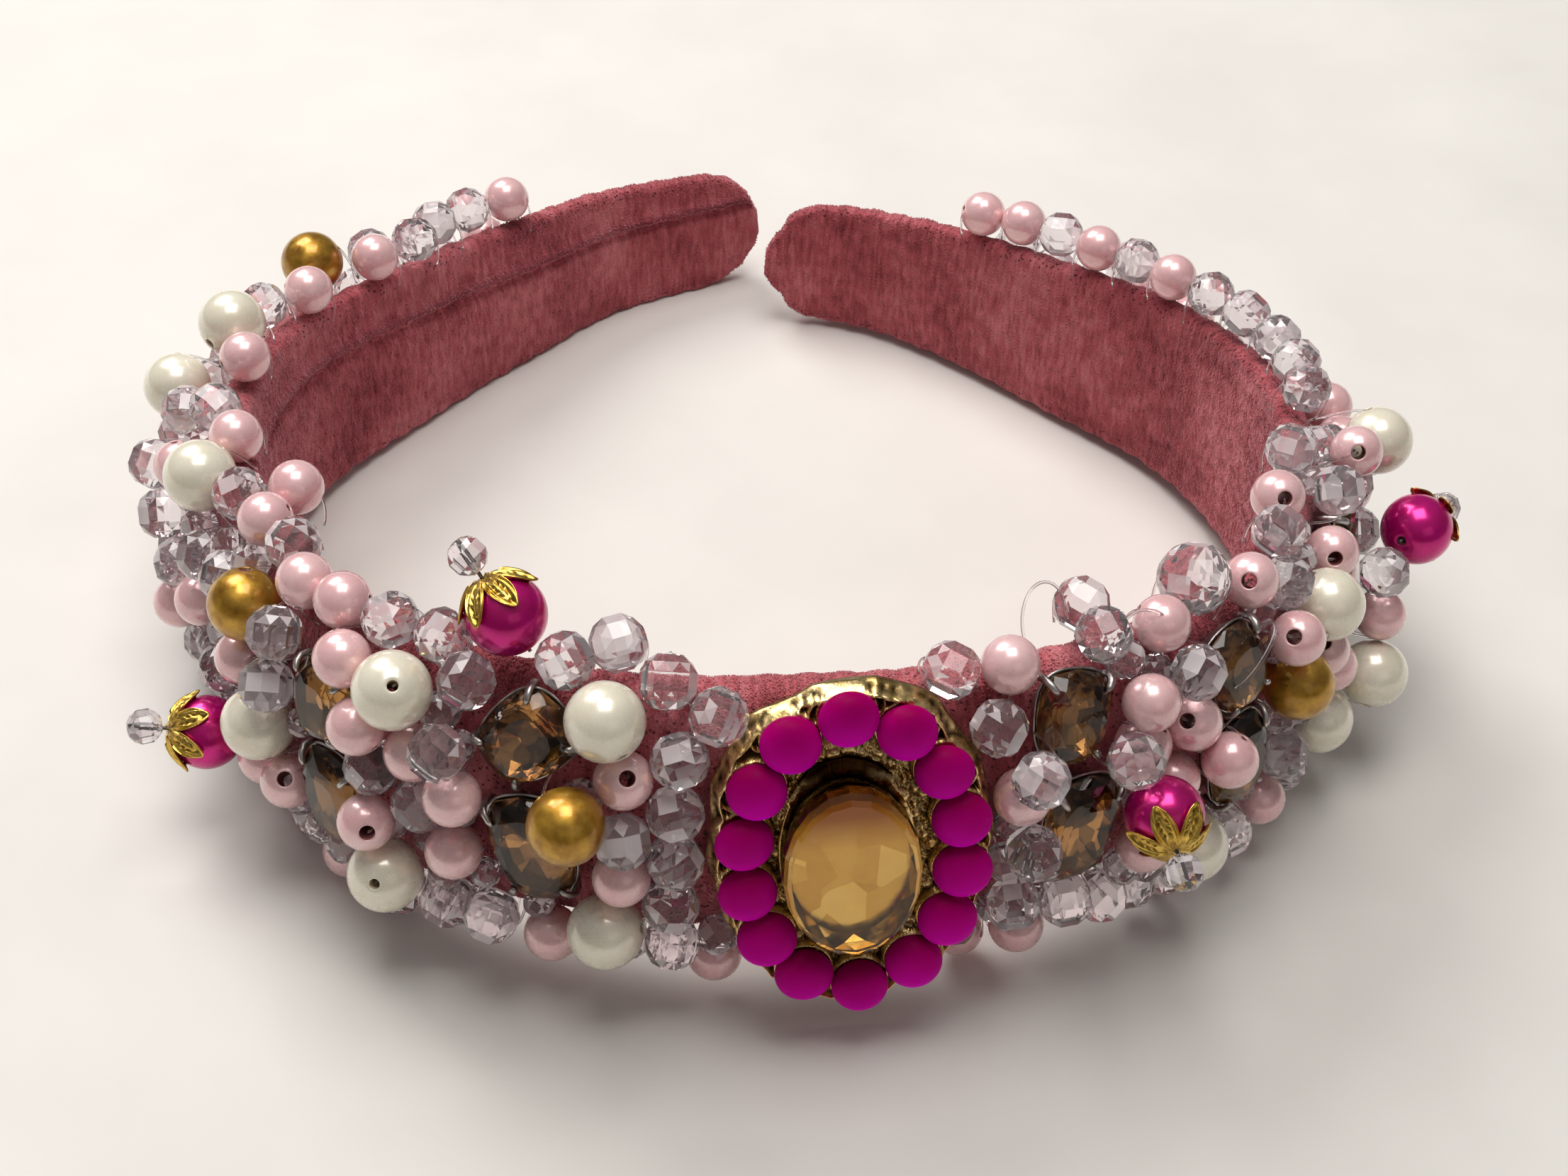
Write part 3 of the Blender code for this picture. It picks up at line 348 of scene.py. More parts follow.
def smooth_plan():
    """A smooth curve through the rows of PLAN, with its length from the middle of the front."""
    knots = [(r * math.sin(math.radians(t)), -r * math.cos(math.radians(t))) for t, r in PLAN]
    knots = np.array(knots) * MM
    knots = np.vstack([2 * knots[0] - knots[1], knots, 2 * knots[-1] - knots[-2]])
    points = []
    for before, start, end, after in zip(knots, knots[1:], knots[2:], knots[3:]):
        for step in range(PLAN_STEPS_PER_KNOT):
            t = step / PLAN_STEPS_PER_KNOT
            points.append(0.5 * (2 * start + (end - before) * t
                                 + (2 * before - 5 * start + 4 * end - after) * t ** 2
                                 + (3 * start - before - 3 * end + after) * t ** 3))
    points.append(knots[-2])
    points = np.array(points)
    runs = np.concatenate([[0], np.cumsum(np.hypot(*np.diff(points, axis=0).T))])
    front = int(np.argmin(np.hypot(points[:, 0], points[:, 1] + PLAN[8][1] * MM)))
    return points, runs - runs[front]


PLAN_POINTS, PLAN_RUNS = smooth_plan()
LEFT_END, RIGHT_END = PLAN_RUNS[0], PLAN_RUNS[-1]


def on_plan(along):
    """Point of the inner face seen from above, and the way out of the ring there."""
    def point(run):
        return np.array([np.interp(run, PLAN_RUNS, PLAN_POINTS[:, k]) for k in (0, 1)])

    ahead = point(along + MM) - point(along - MM)
    ahead /= np.hypot(*ahead)
    return point(along), np.array([ahead[1], -ahead[0]])


def band_size(along):
    """Half width and thickness of the band at a place along it."""
    share = along / (LEFT_END if along < 0 else RIGHT_END)
    shares, halves, thicks = zip(*TAPER)
    return np.interp(share, shares, halves) * MM, np.interp(share, shares, thicks) * MM


def rim_point(half, thick, angle):
    """Point of the outer section: how far out and how high, for an angle from its middle."""
    sine = math.sin(angle)
    out = thick * max(math.cos(angle), 0.0) ** OUT_POWER
    return out, half * math.copysign(abs(sine) ** HIGH_POWER, sine)


def section_curve(along):
    """The outer section as out, high and run, the length from its middle line."""
    half, thick = band_size(along)
    angles = np.linspace(-math.pi / 2, math.pi / 2, SECTION_STEPS + 1)
    curve = np.array([rim_point(half, thick, a) for a in angles])
    runs = np.concatenate([[0], np.cumsum(np.hypot(*np.diff(curve, axis=0).T))])
    return curve, runs - runs[SECTION_STEPS // 2]


def on_velvet(along, across):
    """Point of the outer face and its normal, in the band's own frame."""
    curve, runs = section_curve(along)
    across = min(max(across, runs[1]), runs[-2])

    def point(run):
        return np.array([np.interp(run, runs, curve[:, k]) for k in (0, 1)])

    up = point(across + SLOPE_STEP) - point(across - SLOPE_STEP)
    up /= np.hypot(*up)
    foot, out = on_plan(along)
    reach, high = point(across)
    place = np.array([*(foot + out * reach), high])
    normal = np.array([out[0] * up[1], out[1] * up[1], -up[0]])
    return place, normal


def bead_place(along, across, lift):
    """Middle of a bead, from three lengths in millimetres."""
    place, normal = on_velvet(along * MM, across * MM)
    return place + normal * lift * MM


def matrix_of(ahead, up, normal, place):
    """Matrix with these three axes and this place."""
    made = Matrix((ahead, up, normal)).transposed().to_4x4()
    made.translation = place
    return made


def local_frame(along, across):
    """Matrix whose X runs along the band, Y up across it and Z out of the velvet."""
    place, normal = on_velvet(along * MM, across * MM)
    _, out = on_plan(along * MM)
    ahead = Vector((-out[1], out[0], 0.0))
    normal = Vector(normal).normalized()
    return matrix_of(ahead, normal.cross(ahead).normalized(), normal, Vector(place))


# Settling the beads so that none cuts into another

def fill_beads():
    """Rows of beads on the stretches that the photograph hides."""
    beads = []
    for first, last in FILL_STRETCHES:
        for row in range(FILL_ROW_COUNT):
            along = first + (row % 2) * FILL_STEP / 2
            while along <= last:
                half = band_size(along * MM)[0] / MM
                across = half + FILL_TOP_BEYOND - (row + 1) * FILL_ROW_STEP
                if across > FILL_LOWEST - half:
                    kind = FILL_KINDS[(len(beads) * 2 + row) % len(FILL_KINDS)]
                    sway = FILL_SWAY * math.sin(2.3 * len(beads))
                    beads.append((kind, along + sway, across - sway, FILL_LIFT))
                along += FILL_STEP
    for first, last in LOW_STRETCHES:
        along = first
        while along <= last:
            beads.append((FILL_KINDS[len(beads) % len(FILL_KINDS)], along, LOW_ROW, FILL_LIFT))
            along += FILL_STEP
    return beads


def medallion_frame():
    """Matrix whose X and Y lie in the medallion's back and whose Z points out of its face."""
    foot, out = on_plan(MEDALLION_ALONG)
    outward = Vector((out[0], out[1], 0.0))
    ahead = Vector((-out[1], out[0], 0.0))
    normal = outward * math.cos(MEDALLION_LEAN) + Vector((0, 0, 1)) * math.sin(MEDALLION_LEAN)
    place = Vector((foot[0], foot[1], MEDALLION_HIGH)) + outward * MEDALLION_OUT
    return (matrix_of(ahead, normal.cross(ahead), normal, place)
            @ Matrix.Rotation(MEDALLION_TURN, 4, "Z"))


def stone_guards():
    """Fixed spheres that keep beads out of the claw-set stones: places and radii."""
    guards = []
    for along, across, seat, half_wide, half_high, turn in STONES:
        frame = local_frame(along, across) @ Matrix.Rotation(math.radians(turn), 4, "Z")
        radius = half_wide * MM * STONE_GUARD_SHARE
        beside, above = half_wide * MM - radius, half_high * MM - radius
        high = seat * MM + STONE_GUARD_LIFT * STONE_THICK
        for share in (-1, 0, 1):
            for side in (-1, 1):
                spot = frame @ Vector((side * beside, share * above, high))
                guards.append((spot, radius + STONE_GUARD_ROOM))
    return guards


def medallion_guards():
    """Fixed spheres round the medallion's edge and under its lower end."""
    frame = medallion_frame()
    guards = []
    for step in range(MEDALLION_GUARDS):
        angle = TURN * step / MEDALLION_GUARDS
        x = (RING_HALF[0] + CABOCHON_R - MEDALLION_GUARD_IN) * math.cos(angle)
        y = (RING_HALF[1] + CABOCHON_R - MEDALLION_GUARD_IN) * math.sin(angle)
        for depth in MEDALLION_GUARD_DEPTHS:
            guards.append((frame @ Vector((x, y, depth)), MEDALLION_GUARD_R))
    return guards


def velvet_samples():
    """Points and normals of the outer face, close enough to measure a bead's clearance."""
    places, normals = [], []
    for along in np.arange(LEFT_END + MM, RIGHT_END, VELVET_SAMPLE_STEP):
        _, runs = section_curve(along)
        for across in np.arange(runs[1], runs[-2], VELVET_SAMPLE_STEP):
            place, normal = on_velvet(along, across)
            places.append(place)
            normals.append(normal)
    return np.array(places), np.array(normals)


def settle(kinds, places, owners, guards):
    """Push beads apart and off the velvet. Beads with one owner may come closer together."""
    velvet, normals = velvet_samples()
    radii = np.array([RADII[kind] for kind in kinds])
    guard_places = np.array([place for place, _ in guards])
    guard_radii = np.array([radius for _, radius in guards])
    count = len(places)
    same = np.array([[owners[i] == owners[j] for j in range(count)] for i in range(count)])
    need = radii[:, None] + radii[None, :] + np.where(same, FIELD_ROOM, OWN_ROOM)
    weight = np.where(radii > LARGE_BEAD_R, LARGE_GIVES, SMALL_GIVES)
    share = weight[:, None] / (weight[:, None] + weight[None, :])
    for _ in range(SETTLE_ROUNDS):
        between = places[:, None, :] - places[None, :, :]
        far = np.linalg.norm(between, axis=2) + np.eye(count)
        short = np.clip(need - far, 0, None) * (1 - np.eye(count))
        pushes = between / far[..., None] * (short * share)[..., None]
        places = places + pushes.sum(axis=1) * PUSH
        away = places[:, None, :] - guard_places[None, :, :]
        far = np.linalg.norm(away, axis=2)
        short = np.clip(radii[:, None] + guard_radii[None, :] - far, 0, None)
        pushes = away / far[..., None] * short[..., None]
        places = places + pushes.max(axis=1) * GUARD_PUSH
        places = places + pushes.min(axis=1) * GUARD_PUSH
        for i in range(count):
            nearest = np.argmin(((velvet - places[i]) ** 2).sum(axis=1))
            clear = (places[i] - velvet[nearest]) @ normals[nearest]
            if clear < radii[i] + GAP:
                places[i] += normals[nearest] * (radii[i] + GAP - clear)
    return places


def end_rounding(along, half):
    """Share of the full section that is left near a rounded end."""
    left = min(along - LEFT_END, RIGHT_END - along)
    if left >= half:
        return 1.0
    return math.sqrt(max(1 - (1 - left / half) ** 2, 0.0))


def oval_ring_places():
    """Middles of the round stones, evenly spaced round an oval from its top."""
    angles = np.linspace(0, TURN, OVAL_STEPS + 1)
    oval = np.array([(RING_HALF[0] * math.sin(a), RING_HALF[1] * math.cos(a)) for a in angles])
    runs = np.concatenate([[0], np.cumsum(np.hypot(*np.diff(oval, axis=0).T))])
    wanted = np.arange(CABOCHON_COUNT) * runs[-1] / CABOCHON_COUNT
    return [(np.interp(w, runs, oval[:, 0]), np.interp(w, runs, oval[:, 1])) for w in wanted]


def cap_turn(along, across, pointing):
    """Rotation that takes Z to the way that a drop pearl's cap points."""
    way = (local_frame(along, across).to_3x3() @ Vector(pointing)).normalized()
    return way.to_track_quat("Z", "Y").to_matrix().to_4x4()


def rest_frame():
    """The turn and place that set the ring on the surface where it rests."""
    return (Matrix.Translation(REST_PLACE) @ Matrix.Rotation(REST_TILT_Y, 4, "Y")
            @ Matrix.Rotation(REST_TILT_X, 4, "X"))


def settled_beads():
    """Rows, owners and settled middles of all the beads, fields first."""
    fill = fill_beads()
    left = LEFT_BEADS + SIDE_PEARLS[:3] + [bead for bead in fill if bead[1] < 0]
    right = RIGHT_BEADS + SIDE_PEARLS[3:] + [bead for bead in fill if bead[1] > 0]
    drops = [("fuchsia", along, across, lift) for along, across, lift, _ in DROPS]
    rows = left + right + MAIN_PEARLS + drops
    owners = ["left"] * len(left) + ["right"] * len(right)
    owners += [f"own {number}" for number in range(len(MAIN_PEARLS) + len(drops))]
    places = np.array([bead_place(*row[1:]) for row in rows])
    guards = stone_guards() + medallion_guards()
    return rows, owners, settle([row[0] for row in rows], places, owners, guards)


# Mesh helpers

REST = np.array(rest_frame())


def outward(points, faces):
    """The faces of a closed shape, turned round if they face its inside."""
    fans = [(face[0], face[k], face[k + 1]) for face in faces for k in range(1, len(face) - 1)]
    a, b, c = (points[list(corner)] for corner in zip(*fans))
    volume = np.einsum("ij,ij->", a - points.mean(axis=0), np.cross(b - a, c - a))
    return [face[::-1] for face in faces] if volume < 0 else faces


def add_piece(name, points, faces, materials, slots=None, smooth=True, values=None):
    """A piece of the object from points in the band's frame, carried by the root body.
    Nothing reaches below the surface that the band rests on."""
    points = np.asarray(points, float)
    turned = points @ REST[:3, :3].T + REST[:3, 3]
    turned[:, 2] = np.maximum(turned[:, 2], FLOOR_ROOM)
    mesh = bpy.data.meshes.new(name)
    mesh.from_pydata(turned.tolist(), [], faces)
    for material in materials:
        mesh.materials.append(material)
    if slots is not None:
        mesh.polygons.foreach_set("material_index", np.asarray(slots, np.int32))
    smooth = np.broadcast_to(np.asarray(smooth, bool), len(mesh.polygons))
    mesh.polygons.foreach_set("use_smooth", smooth)
    for key, numbers in (values or {}).items():
        layer = mesh.attributes.new(key, "FLOAT", "POINT")
        layer.data.foreach_set("value", np.asarray(numbers, np.float32))
    mesh.update()
    item = bpy.data.objects.new(name, mesh)
    bpy.context.scene.collection.objects.link(item)
    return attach(item, "root")


def around(count, twist=0.0):
    """Angles of points evenly spaced round a circle, with a twist in shares of a step."""
    return (np.arange(count) + twist) * TURN / count


def hump(far, wide):
    """A smooth hump that is 1 where far is 0 and a third of that at a distance of wide."""
    return np.exp(-(far / wide) ** 2)


def loft_faces(count, sides, closed=False, twists=None):
    """Faces of a loft through rings of points. Where one ring is twisted by half a side
    against its neighbour, the faces between them are triangles."""
    twists = twists or [0] * count
    pairs = [(r, r + 1) for r in range(count - 1)]
    if closed:
        pairs.append((count - 1, 0))
    faces = []
    for low, high in pairs:
        for i in range(sides):
            j = (i + 1) % sides
            a, b = low * sides + i, low * sides + j
            c, d = high * sides + i, high * sides + j
            if twists[low] == twists[high]:
                faces.append((a, b, d, c))
            elif twists[high]:
                faces += [(a, b, c), (b, d, c)]
            else:
                faces += [(a, d, c), (a, b, d)]
    if not closed:
        faces.append(tuple(range(sides))[::-1])
        faces.append(tuple(range((count - 1) * sides, count * sides)))
    return faces


def turned_shape(profile, sides, twists=None, closed=True):
    """Points and faces of a shape turned round Z from a profile of radius and height."""
    twists = twists or [0] * len(profile)
    points = []
    for (radius, height), twist in zip(profile, twists):
        angles = around(sides, 0.5 * twist)
        points.append(np.stack([radius * np.cos(angles), radius * np.sin(angles),
                                np.full(sides, height)], axis=1))
    return np.vstack(points), loft_faces(len(profile), sides, closed, twists=twists)


class Heap:
    """Many small shapes gathered into one piece."""

    def __init__(self):
        self.points, self.faces, self.slots, self.count = [], [], [], 0
        self.values = {}

    def add(self, points, faces, matrix=None, slots=None, **values):
        """Add a closed shape, placed by a matrix. Values are numbers for its points."""
        points = np.asarray(points, float)
        faces = outward(points, faces)
        if matrix is not None:
            matrix = np.array(matrix)
            points = points @ matrix[:3, :3].T + matrix[:3, 3]
        self.points.append(points)
        self.faces += [tuple(i + self.count for i in face) for face in faces]
        self.slots += list(slots) if slots is not None else [0] * len(faces)
        self.count += len(points)
        for key, numbers in values.items():
            self.values.setdefault(key, []).append(np.broadcast_to(numbers, len(points)))

    def piece(self, name, materials, smooth=True):
        """Make one piece of everything that was added."""
        values = {key: np.concatenate(parts) for key, parts in self.values.items()}
        return add_piece(name, np.vstack(self.points), self.faces, materials, self.slots,
                         smooth, values)


def aim(direction, place, spin=0.0):
    """Matrix that puts Z along a direction at a place."""
    turn = Vector(direction).to_track_quat("Z", "Y").to_matrix().to_4x4()
    return Matrix.Translation(Vector(place)) @ turn @ Matrix.Rotation(spin, 4, "Z")


def tube(path, radii, sides=8, flat=1.0):
    """Points and faces of a closed tube along a path, with a radius at each point."""
    path = np.asarray(path, float)
    ahead = np.gradient(path, axis=0)
    ahead /= np.linalg.norm(ahead, axis=1)[:, None]
    side = np.cross(ahead[0], (0.31, 0.17, 0.93))
    angles = around(sides)
    rings = []
    for point, way, radius in zip(path, ahead, radii):
        side = side - way * (side @ way)
        side /= np.linalg.norm(side)
        other = np.cross(way, side)
        rings.append(point + radius * (np.outer(np.cos(angles), side)
                                       + flat * np.outer(np.sin(angles), other)))
    return np.vstack(rings), loft_faces(len(path), sides)


# Materials

def new_material(name, **values):
    """A material whose shader has these values, with socket names in lower case."""
    material = bpy.data.materials.new(name)
    material.use_nodes = True
    tree = material.node_tree
    shader = tree.nodes["Principled BSDF"]
    for key, value in values.items():
        socket = shader.inputs[key.replace("_", " ").title().replace("Ior", "IOR")]
        socket.default_value = (*value, 1.0) if isinstance(value, tuple) else value
    return material, tree, shader


def node(tree, kind, inputs=(), **settings):
    """A node with its settings and its inputs, which are numbers or other nodes' outputs."""
    made = tree.nodes.new("ShaderNode" + kind)
    for key, value in settings.items():
        setattr(made, key, value)
    for key, value in dict(inputs).items():
        if isinstance(value, bpy.types.NodeSocket):
            tree.links.new(value, made.inputs[key])
        else:
            made.inputs[key].default_value = value
    return made


def stored(tree, name):
    """A number that is stored on the piece's points."""
    return node(tree, "Attribute", attribute_name=name).outputs["Fac"]


def maths(tree, how, first, second):
    """Two numbers put together."""
    return node(tree, "Math", {0: first, 1: second}, operation=how).outputs[0]


def noise(tree, scale, detail=3.0, rough=0.55, vector=None):
    """Noise over the object, with its scale in waves to the metre."""
    vector = vector or node(tree, "TexCoord").outputs["Object"]
    return node(tree, "TexNoise", {"Vector": vector, "Scale": scale, "Detail": detail,
                                   "Roughness": rough}).outputs["Fac"]


def ramp(tree, fac, stops):
    """A colour ramp through stops of position and colour."""
    made = node(tree, "ValToRGB", {"Fac": fac})
    elements = made.color_ramp.elements
    while len(elements) < len(stops):
        elements.new(0.5)
    for element, (position, colour) in zip(elements, stops):
        element.position = position
        element.color = (*colour, 1.0)
    return made.outputs["Color"]


def spread(tree, fac, low, high, start=0.3, end=0.7):
    """A number that runs from low to high as fac goes from start to end."""
    return node(tree, "MapRange", {"Value": fac, "From Min": start, "From Max": end,
                                   "To Min": low, "To Max": high}).outputs["Result"]


def blend_colours(tree, fac, first, second):
    """Mix two colours by a factor."""
    made = node(tree, "Mix", data_type="RGBA")
    for socket, value in ((made.inputs[0], fac), (made.inputs[6], first),
                          (made.inputs[7], second)):
        if isinstance(value, bpy.types.NodeSocket):
            tree.links.new(value, socket)
        else:
            socket.default_value = (*value, 1.0) if isinstance(value, tuple) else value
    return made.outputs[2]


def bump(tree, shader, height, distance, strength=1.0):
    """Bump from a height over a distance in metres."""
    made = node(tree, "Bump", {"Height": height, "Distance": distance, "Strength": strength})
    tree.links.new(made.outputs["Normal"], shader.inputs["Normal"])


def dress(tree, shader, colour, waves=None, rough=None):
    """Give a shader its colour, and a roughness that wanders with waves to the metre."""
    tree.links.new(colour, shader.inputs["Base Color"])
    if waves:
        tree.links.new(spread(tree, noise(tree, waves), *rough), shader.inputs["Roughness"])


def velvet_material(name, dark, middle, light, tip=False):
    """Crushed velvet: streaks down the pile and soft patches, with painted light on the tips of
    the pile, or else with fine knitted pores and a dark seam."""
    material, tree, shader = new_material(
        name, roughness=0.85, sheen_weight=0.55, sheen_roughness=0.4,
        sheen_tint=(1.0, 0.62, 0.68), specular_ior_level=0.2)
    slow = maths(tree, "MULTIPLY", stored(tree, "across"), 0.16)
    joined = node(tree, "CombineXYZ", {"X": stored(tree, "along"), "Y": slow})
    streaks = noise(tree, 1.5, 4.0, 0.6, joined.outputs["Vector"])
    both = maths(tree, "ADD", streaks, noise(tree, 90.0))
    colour = ramp(tree, spread(tree, both, 0, 1, 0.7, 1.3),
                  [(0.0, dark), (0.5, middle), (1.0, light)])
    if tip:
        # Painted light: the tips of the pile are lighter, as if lit from behind
        share = spread(tree, stored(tree, "tip"), 0.0, 0.75, 0.1, 1.0)
        colour = blend_colours(tree, share, colour, (1.0, 0.66, 0.66))
    else:
        place = node(tree, "TexCoord").outputs["Object"]
        cells = node(tree, "TexVoronoi", {"Vector": place, "Scale": 1500.0}).outputs["Distance"]
        deep = maths(tree, "MULTIPLY", spread(tree, cells, 1.0, 0.0, 0.12, 0.34),
                     stored(tree, "pores"))
        colour = blend_colours(tree, deep, colour, (0.05, 0.008, 0.014))
        seam = spread(tree, stored(tree, "seam"), 0, 0.75, 0, 1)
        colour = blend_colours(tree, seam, colour, (0.13, 0.02, 0.035))
    dress(tree, shader, colour)
    bump(tree, shader, noise(tree, 2600.0, 2.0), 0.0004, 0.8)
    return material


def pearl_material(name, deep, light, metallic=0.15, mottle=260.0, rough=(0.22, 0.34),
                   coat=1.0):
    """A pearl coat: a soft body under a clear coat, with cloudy colour and faint pits."""
    material, tree, shader = new_material(
        name, metallic=metallic, coat_weight=coat, coat_roughness=0.09, coat_ior=1.55,
        subsurface_weight=0.1, subsurface_scale=0.001)
    clouds = noise(tree, mottle, 4.0, 0.6)
    dress(tree, shader, ramp(tree, clouds, [(0.3, deep), (0.66, light)]), 900.0, rough)
    bump(tree, shader, noise(tree, 500.0, 2.0), 0.00002, 0.3)
    return material


def bore_material(name, dark, light):
    """The inside of a drilled hole, darker with painted shade."""
    material, tree, shader = new_material(name, roughness=0.6)
    dress(tree, shader, ramp(tree, noise(tree, 1500.0), [(0.3, dark), (0.7, light)]))
    return material


def clear_material(name, tint, deep, rough=(0.02, 0.07), ior=1.49, clear=1.0, painted_facet_light=0.0):
    """Clear acrylic or glass with a faint tint and slightly rubbed facets. One facet in four is
    less clear by the last argument: painted light, standing in for light from the sides that
    fills the facet."""
    material, tree, shader = new_material(name, transmission_weight=clear, ior=ior)
    dress(tree, shader, ramp(tree, noise(tree, 200.0), [(0.3, deep), (0.7, tint)]), 500.0, rough)
    # Painted light: a random facet in four turns less clear, so that it looks lit from the sides
    if painted_facet_light:
        normal = node(tree, "NewGeometry").outputs["True Normal"]
        facet = node(tree, "VectorMath", {0: normal, 1: FACET_CELL}, operation="SNAP")
        share = node(tree, "TexWhiteNoise", {"Vector": facet.outputs["Vector"]}).outputs["Value"]
        clearness = spread(tree, share, clear, clear - painted_facet_light, 0.70, 0.80)
        tree.links.new(clearness, shader.inputs["Transmission Weight"])
    return material


def foil_material(name, dark, light, rough, glints=0.0, top=None):
    """The mirror foil on the back of a cut stone. Glints are the waves to the metre of the
    patches of painted reflection that its facets throw, and top is the colour of the painted
    shade over its upper end."""
    material, tree, shader = new_material(name, metallic=1.0)
    colour = ramp(tree, noise(tree, 350.0, 4.0), [(0.32, dark), (0.68, light)])
    # Painted reflection: patches of light and dark that stand in for the flashes thrown by the
    # facets
    if glints:
        place = node(tree, "TexCoord").outputs["Object"]
        cells = node(tree, "TexVoronoi", {"Vector": place, "Scale": glints}).outputs["Color"]
        share = node(tree, "SeparateXYZ", {"Vector": cells}).outputs["X"]
        middle = tuple(0.7 * low + 0.3 * high for low, high in zip(dark, light))
        patch = ramp(tree, share, [(0.36, dark), (0.40, middle), (0.78, middle), (0.82, light)])
        colour = blend_colours(tree, 0.85, colour, patch)
    # Painted shade: the upper end of the foil darkens towards the top colour
    if top:
        rise = spread(tree, stored(tree, "rise"), 0, 0.96, 0.60, 0.78)
        colour = blend_colours(tree, rise, colour, top)
    dress(tree, shader, colour, 900.0, rough)
    return material


def gold_material(name, dark, light, hollow=(0.035, 0.014, 0.004)):
    """Gold plate with painted shade in its hollows, which leaves its ridges brighter."""
    material, tree, shader = new_material(name, metallic=1.0)
    colour = ramp(tree, noise(tree, 420.0, 5.0, 0.65), [(0.3, dark), (0.65, light)])
    # Painted shade: the hollows are mixed towards a dark brown
    colour = blend_colours(tree, stored(tree, "hollow"), colour, hollow)
    dress(tree, shader, colour, 1300.0, (0.16, 0.42))
    bump(tree, shader, noise(tree, 1800.0), 0.00008, 0.6)
    return material


def cabochon_material():
    """Satin magenta resin, with painted shade at its top edge and a painted glow at its lower
    edge.
    """
    material, tree, shader = new_material(
        "satin_magenta", coat_weight=0.012, coat_roughness=0.4, subsurface_weight=0.2,
        subsurface_scale=0.0012, specular_ior_level=0.02)
    wander = spread(tree, noise(tree, 160.0), -0.12, 0.12, 0.2, 0.8)
    both = maths(tree, "ADD", stored(tree, "rise"), wander)
    # Painted light: the colour runs from a bright glow at the foot of each dome to painted shade
    # at its top
    colour = ramp(tree, both, [(0.0, (1.0, 0.0, 0.95)), (0.15, (0.74, 0.0, 0.48)),
                               (0.5, (0.52, 0.0, 0.25)), (0.95, (0.30, 0.0, 0.085))])
    dress(tree, shader, colour, 2200.0, (0.34, 0.5))
    bump(tree, shader, noise(tree, 3000.0, 2.0), 0.00003, 0.5)
    return material


# The velvet band

def velvet_section(half, thick):
    """The whole closed section of the padded band: how far out and how high, from the
    lower inner edge over the outer face to the upper inner edge, then down the inner face."""
    angles = np.radians(np.linspace(-RIM_ANGLE, RIM_ANGLE, OUTER_POINTS))
    outer = np.array([rim_point(half, thick, angle) for angle in angles])
    start, low = outer[-1], INNER_EDGE_SHARE * half * 0.97
    bends = np.linspace(0, 1, RIM_POINTS)[1:, None]
    first, last = start, np.array([-0.15 * MM, low])
    lean = np.array([start[0] * 0.35, half * 1.012])
    edge = np.array([-0.10 * MM, half * 0.995])
    rim = ((1 - bends) ** 3 * first + 3 * (1 - bends) ** 2 * bends * lean
           + 3 * (1 - bends) * bends ** 2 * edge + bends ** 3 * last)
    high = np.linspace(low, -low, INNER_POINTS)[1:-1]
    crown = -0.15 * MM - 0.35 * MM * (1 - (high / low) ** 2)
    inner = np.stack([crown, high], axis=1)
    lower = rim[::-1] * (1, -1)
    return np.vstack([outer, rim, inner, lower])


def velvet_grid():
    """Rows of points round the band, with their along and across lengths in millimetres."""
    ends = np.array(END_STATIONS) * MM
    middle = np.arange(LEFT_END + 9 * MM, RIGHT_END - 8.4 * MM, STATION_STEP)
    stations = np.concatenate([LEFT_END + ends, middle, RIGHT_END - ends[::-1]])
    rows, across = [], []
    for along in stations:
        half, thick = band_size(along)
        share = end_rounding(along, half)
        if RIGHT_END - along < RIGHT_FOLD:
            share *= 0.80
        thick *= 0.35 + 0.65 * share
        foot, out = on_plan(along)
        section = velvet_section(half * share, thick)
        rows.append(np.column_stack([foot + section[:, :1] * out, section[:, 1]]))
        across.append(section[:, 1] / MM)
    return stations / MM, np.array(rows), np.array(across)


def grid_normals(grid):
    """Normals of a grid whose second direction is closed."""
    ahead = np.gradient(grid, axis=0)
    round_it = np.roll(grid, -1, axis=1) - np.roll(grid, 1, axis=1)
    normals = np.cross(round_it, ahead)
    return normals / (np.linalg.norm(normals, axis=2)[..., None] + 1e-12)


def seam_depth(along, across, inner):
    """How strongly the inner seam shows: it runs along the left arm under the top edge."""
    line = SEAM_HIGH + SEAM_CLIMB * np.clip(along + 170, 0, 90) + 0.3 * np.sin(along / 11.0)
    return hump(across - line, SEAM_WIDE) * inner * np.clip((SEAM_FIRST - along) / 15, 0, 1)


def make_velvet():
    """The padded band with its seam, and two pieces of pile standing on it."""
    stations, grid, across = velvet_grid()
    normals = grid_normals(grid)
    count, sides = across.shape
    along = np.repeat(stations[:, None], sides, axis=1)
    first = OUTER_POINTS + RIM_POINTS - 1
    inner = np.zeros_like(along)
    inner[:, first:first + INNER_POINTS - 2] = 1.0
    seam = seam_depth(along, across, inner)
    ripple = (0.10 * np.sin(along * 1.7 + 2.0 * np.sin(across * 0.6))
              + 0.08 * np.sin(across * 2.3 + 1.3 * np.sin(along * 0.9)))
    above = np.roll(seam, 2, axis=1)
    grid = grid + normals * ((ripple - 0.7 * seam + 0.8 * above) * MM)[..., None]
    pores = (1 - inner) * np.clip(2.3 - np.abs(across) / 10, 0, 1)
    values = {"along": along.ravel(), "across": across.ravel(), "seam": seam.ravel(),
              "pores": pores.ravel()}
    cover = add_piece("velvet_cover", grid.reshape(-1, 3),
                      outward(grid.reshape(-1, 3), loft_faces(count, sides)),
                      [velvet_material("velvet", (0.24, 0.038, 0.047), (0.46, 0.10, 0.12),
                                       (0.64, 0.21, 0.235))], values=values)
    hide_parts("velvet_band")

    # The pile's tips take painted light from behind
    pile = velvet_material("velvet_pile", (0.30, 0.055, 0.07), (0.54, 0.15, 0.17),
                           (0.72, 0.30, 0.32), tip=True)
    for name in ("velvet_pile_a", "velvet_pile_b"):
        make_pile(name, pile, grid, normals, along, across, inner)


